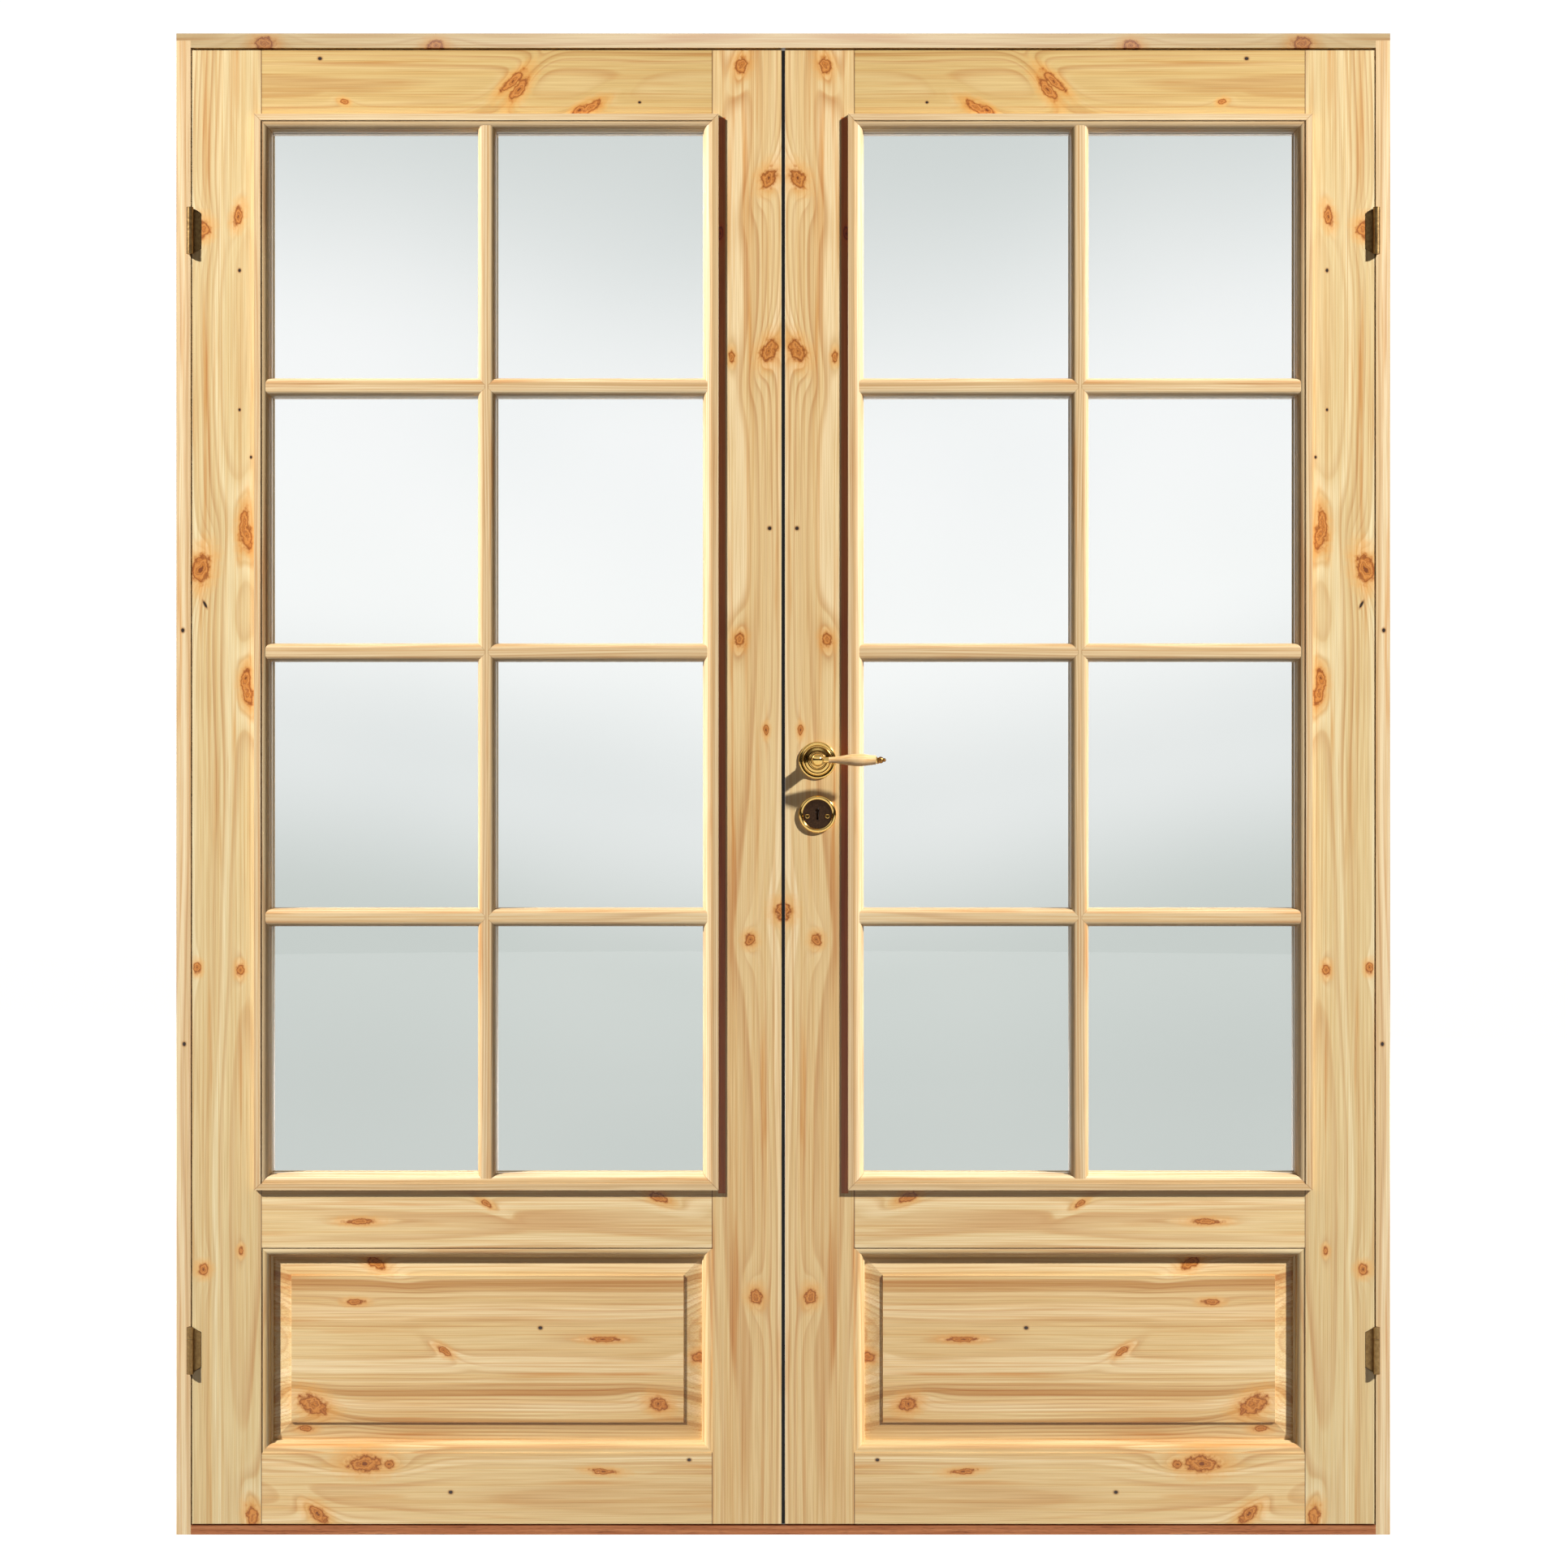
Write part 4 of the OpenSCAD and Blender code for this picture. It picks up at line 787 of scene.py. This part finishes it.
seal_low, seal_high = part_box("meeting_seal")
FIN_ROOT = 0.3 * MM                    # how far the fin is let into the left leaf
FIN_PLAY = 0.1 * MM                    # the air between the fin and the right leaf
fin_front = leaf_front + 1.1 * MM
fin_back = leaf_front + 1.6 * MM
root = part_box("left_meeting_stile")[1].x - FIN_ROOT
edge = stile_low.x - FIN_PLAY
fin = prism("seal_fin", [(root, fin_front), (edge, fin_front), (edge, fin_back), (root, fin_back)],
            seal_low.z, seal_high.z, "z", "left_leaf", rubber)
KEY_ROUND = 2.9 * MM                   # the round of the keyway, and half the width of its slit
KEY_SLIT = 1.5 * MM
KEY_FOOT = 7.9 * MM                    # how far the slit reaches below the middle of the dish
KEY_TOP = 5 * MM
LEVER_PACK = 4 * MM                    # half the thickness of the stack of levers
ROUND_STEPS = 16
case_low, case_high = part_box("lock_case")
key_top = plate_middle.z + KEY_TOP
start = math.asin(-math.sqrt(1 - (KEY_SLIT / KEY_ROUND) ** 2))
turn = [start + (math.pi - 2 * start) * i / ROUND_STEPS for i in range(ROUND_STEPS + 1)]
keyway = [(plate_middle.x + KEY_ROUND * math.cos(a), key_top + KEY_ROUND * math.sin(a)) for a in turn]
keyway += [(plate_middle.x - KEY_SLIT, plate_middle.z - KEY_FOOT),
           (plate_middle.x + KEY_SLIT, plate_middle.z - KEY_FOOT)]
case_mid = (case_low.y + case_high.y) / 2
levers = prism("lock_levers", keyway, case_mid - LEVER_PACK, case_mid + LEVER_PACK, "y",
               "right_leaf", dark_brass)
print("added:", fin.name, "and", levers.name)

# %% [markdown]
# ## Studio
# The doors stand on a large pale floor in a white room. The camera looks straight at them from four
# metres, level with the middle of the doors, which keeps every upright upright.

# %% Camera
VIEW_DISTANCE = 4.0
VIEW_WIDTH = 2.183                     # width of the picture at the front of the doors
camera_data = bpy.data.cameras.new("camera")
camera = bpy.data.objects.new("camera", camera_data)
scene.collection.objects.link(camera)
scene.camera = camera
camera_data.sensor_width = 36
camera_data.lens = camera_data.sensor_width * VIEW_DISTANCE / VIEW_WIDTH
camera.location = (0.001, leaf_front - VIEW_DISTANCE, door_height / 2)
camera.rotation_euler = (math.radians(90), 0, 0)
print("camera", [round(v, 3) for v in camera.location], "lens", round(camera_data.lens, 1), "mm")

# %% Floor
FLOOR_RADIUS = 14.0
FLOOR_SPECKLE = 40.0                   # per metre: soft blotches of 25 mm
BELOW_SILL = 0.5 * MM                  # the floor lies this far under the threshold


def studio_floor():
    """A large round floor of smooth pale paint. Panes don't show it, so that they stay calm."""
    material, tree = new_material("studio_paint")
    place = add(tree, "TexCoord").outputs["Object"]
    speckle = add(tree, "TexNoise", {"Vector": place, "Scale": FLOOR_SPECKLE}).outputs["Fac"]
    colour = ramp(tree, speckle, [(0.0, "#F6F6F5"), (1.0, "#FBFBFB")]).outputs["Color"]
    close(tree, add(tree, "BsdfPrincipled", {
        "Base Color": colour, "Roughness": 0.95, "Emission Color": srgb("#FFFFFF"),
        "Emission Strength": 0.9}).outputs[0])
    mesh = bmesh.new()
    bmesh.ops.create_circle(mesh, cap_ends=True, segments=96, radius=FLOOR_RADIUS)
    bmesh.ops.translate(mesh, verts=mesh.verts, vec=(0, 0, -BELOW_SILL))
    data = bpy.data.meshes.new("studio_floor")
    mesh.to_mesh(data)
    mesh.free()
    data.materials.append(material)
    piece = bpy.data.objects.new("studio_floor", data)
    scene.collection.objects.link(piece)
    piece.visible_transmission = False
    piece.visible_diffuse = False
    return piece


floor = studio_floor()
print("floor", round(floor.dimensions.x, 1), "m across")

# %% [markdown]
# Each leaf is lit from its own hinge side, from above, by a lamp small enough to draw the shadow of
# the beads and of the lever. Each lamp lights its own half of the doors, and a dim lamp in front
# fills the shadows a little. The lamps stand far off, so the light falls off gently over a leaf.
# A large soft lamp lights the back of the doors.

# %% Lamps
def lamp(name, location, target, power, size, receivers=None):
    """A round lamp aimed at a target, which lights only the receivers if they are given."""
    data = bpy.data.lights.new(name, "AREA")
    data.shape = "DISK"
    data.energy = power
    data.size = size
    piece = bpy.data.objects.new(name, data)
    scene.collection.objects.link(piece)
    piece.location = location
    piece.rotation_euler = (Vector(target) - Vector(location)).to_track_quat("-Z", "Y").to_euler()
    if receivers:
        group = bpy.data.collections.new(name + "_lights")
        for receiver in receivers:
            group.objects.link(receiver)
        piece.light_linking.receiver_collection = group
    return piece


def half_of_doors(side):
    """The pieces that the lamp of one side lights: that leaf, its hinges and its jamb."""
    body_names = {"left": ("left_leaf", "upper_bolt", "lower_bolt"),
                  "right": ("right_leaf", "handle", "latch", "dead_lock")}[side]
    names = [n for b in body_names for n in frame["record"]["behaviour"]["bodies"][b]]
    names += [n for n in nodes if n.startswith("jamb") and side in n]
    return [nodes[n] for n in names]


AROUND = math.radians(55)              # how far to the side a lamp stands
UP = math.radians(34)                  # how high it stands
REACH = 9.0
KEY_POWER = 1650
leaf_middle = Vector((0.42, leaf_front, 1.05))
for side, way in (("left", -1), ("right", 1)):
    aim = Vector((way * leaf_middle.x, leaf_middle.y, leaf_middle.z))
    toward = Vector((way * math.sin(AROUND) * math.cos(UP), -math.cos(AROUND) * math.cos(UP),
                     math.sin(UP)))
    lamp(f"key_{side}", aim + toward * REACH, aim, KEY_POWER, 0.45, half_of_doors(side))
frame_only = [nodes[n] for n in ("frame_head", "threshold", "head_stop", "threshold_stop",
                                 "frame_seal", "head_keep", "sill_keep", "frame_screws")]
lamp("key_frame", (0.0, -5.5, 5.0), (0, 0, 1), 330, 1.0, frame_only)
fill = lamp("fill", (0.0, -6.0, 1.6), (0, 0, 1), 10, 2.5)
back = lamp("back", (1.5, 7.0, 3.2), (0, 0, 1), 520, 2.5)
for piece in (fill, back):
    piece.visible_camera = False
    piece.visible_glossy = False
    piece.visible_transmission = False

# %% [markdown]
# Around all this is the studio itself. To the eye it is plain white. What lights the doors is much
# dimmer, or the keys would cast no shadows. Polished brass needs something to mirror: it sees bright
# panels above and a dim room at eye level. A pane shows the far side of the studio, where the light
# falls off towards the floor, which gives it its soft silver gradient.

# %% Studio surroundings
def studio_world():
    """White to the eye, dim as a light, banded in a mirror, and a soft gradient through glass."""
    world = bpy.data.worlds.new("studio")
    world.use_nodes = True
    tree = world.node_tree
    tree.nodes.clear()
    way = add(tree, "TexCoord").outputs["Generated"]
    split = add(tree, "SeparateXYZ", {0: way})
    rise = add(tree, "MapRange", {0: split.outputs["Z"], 1: -0.14, 2: 0.22}).outputs[0]
    side = add(tree, "Math", {0: split.outputs["X"]}, operation="ABSOLUTE").outputs[0]
    slant = add(tree, "Math", {0: side, 1: -0.55, 2: rise}, operation="MULTIPLY_ADD").outputs[0]
    veil = ramp(tree, slant, [(0.0, "#C9CECB"), (0.17, "#D0D5D2"), (0.34, "#ECEEEE"),
                              (0.50, "#FFFFFF"), (0.68, "#FDFDFE"), (1.0, "#D8DCDB")], "EASE")
    height = add(tree, "MapRange", {0: split.outputs["Z"], 1: -1.0, 2: 1.0}).outputs[0]
    room = ramp(tree, height, [(0.34, "#D8D4CC"), (0.45, "#3E3933"), (0.56, "#14110E"),
                               (0.66, "#5E5952"), (0.73, "#FFFFFF"), (0.95, "#B8B8B8")], "EASE")
    path = add(tree, "LightPath")
    light = add(tree, "Background", {"Color": srgb("#FFE9CC"), "Strength": 0.11}).outputs[0]
    for flag, colour, strength in (("Is Glossy Ray", room.outputs["Color"], 1.25),
                                   ("Is Transmission Ray", veil.outputs["Color"], 1.06),
                                   ("Is Camera Ray", srgb("#FFFFFF"), 1.05)):
        other = add(tree, "Background", {"Color": colour, "Strength": strength}).outputs[0]
        light = add(tree, "MixShader", {0: path.outputs[flag], 1: light, 2: other}).outputs[0]
    add(tree, "OutputWorld", {"Surface": light})
    return world


scene.world = studio_world()
scene.view_settings.view_transform = "Standard"
for side in ("left", "right"):
    nodes[f"{side}_glass"].visible_shadow = False
print("studio ready")
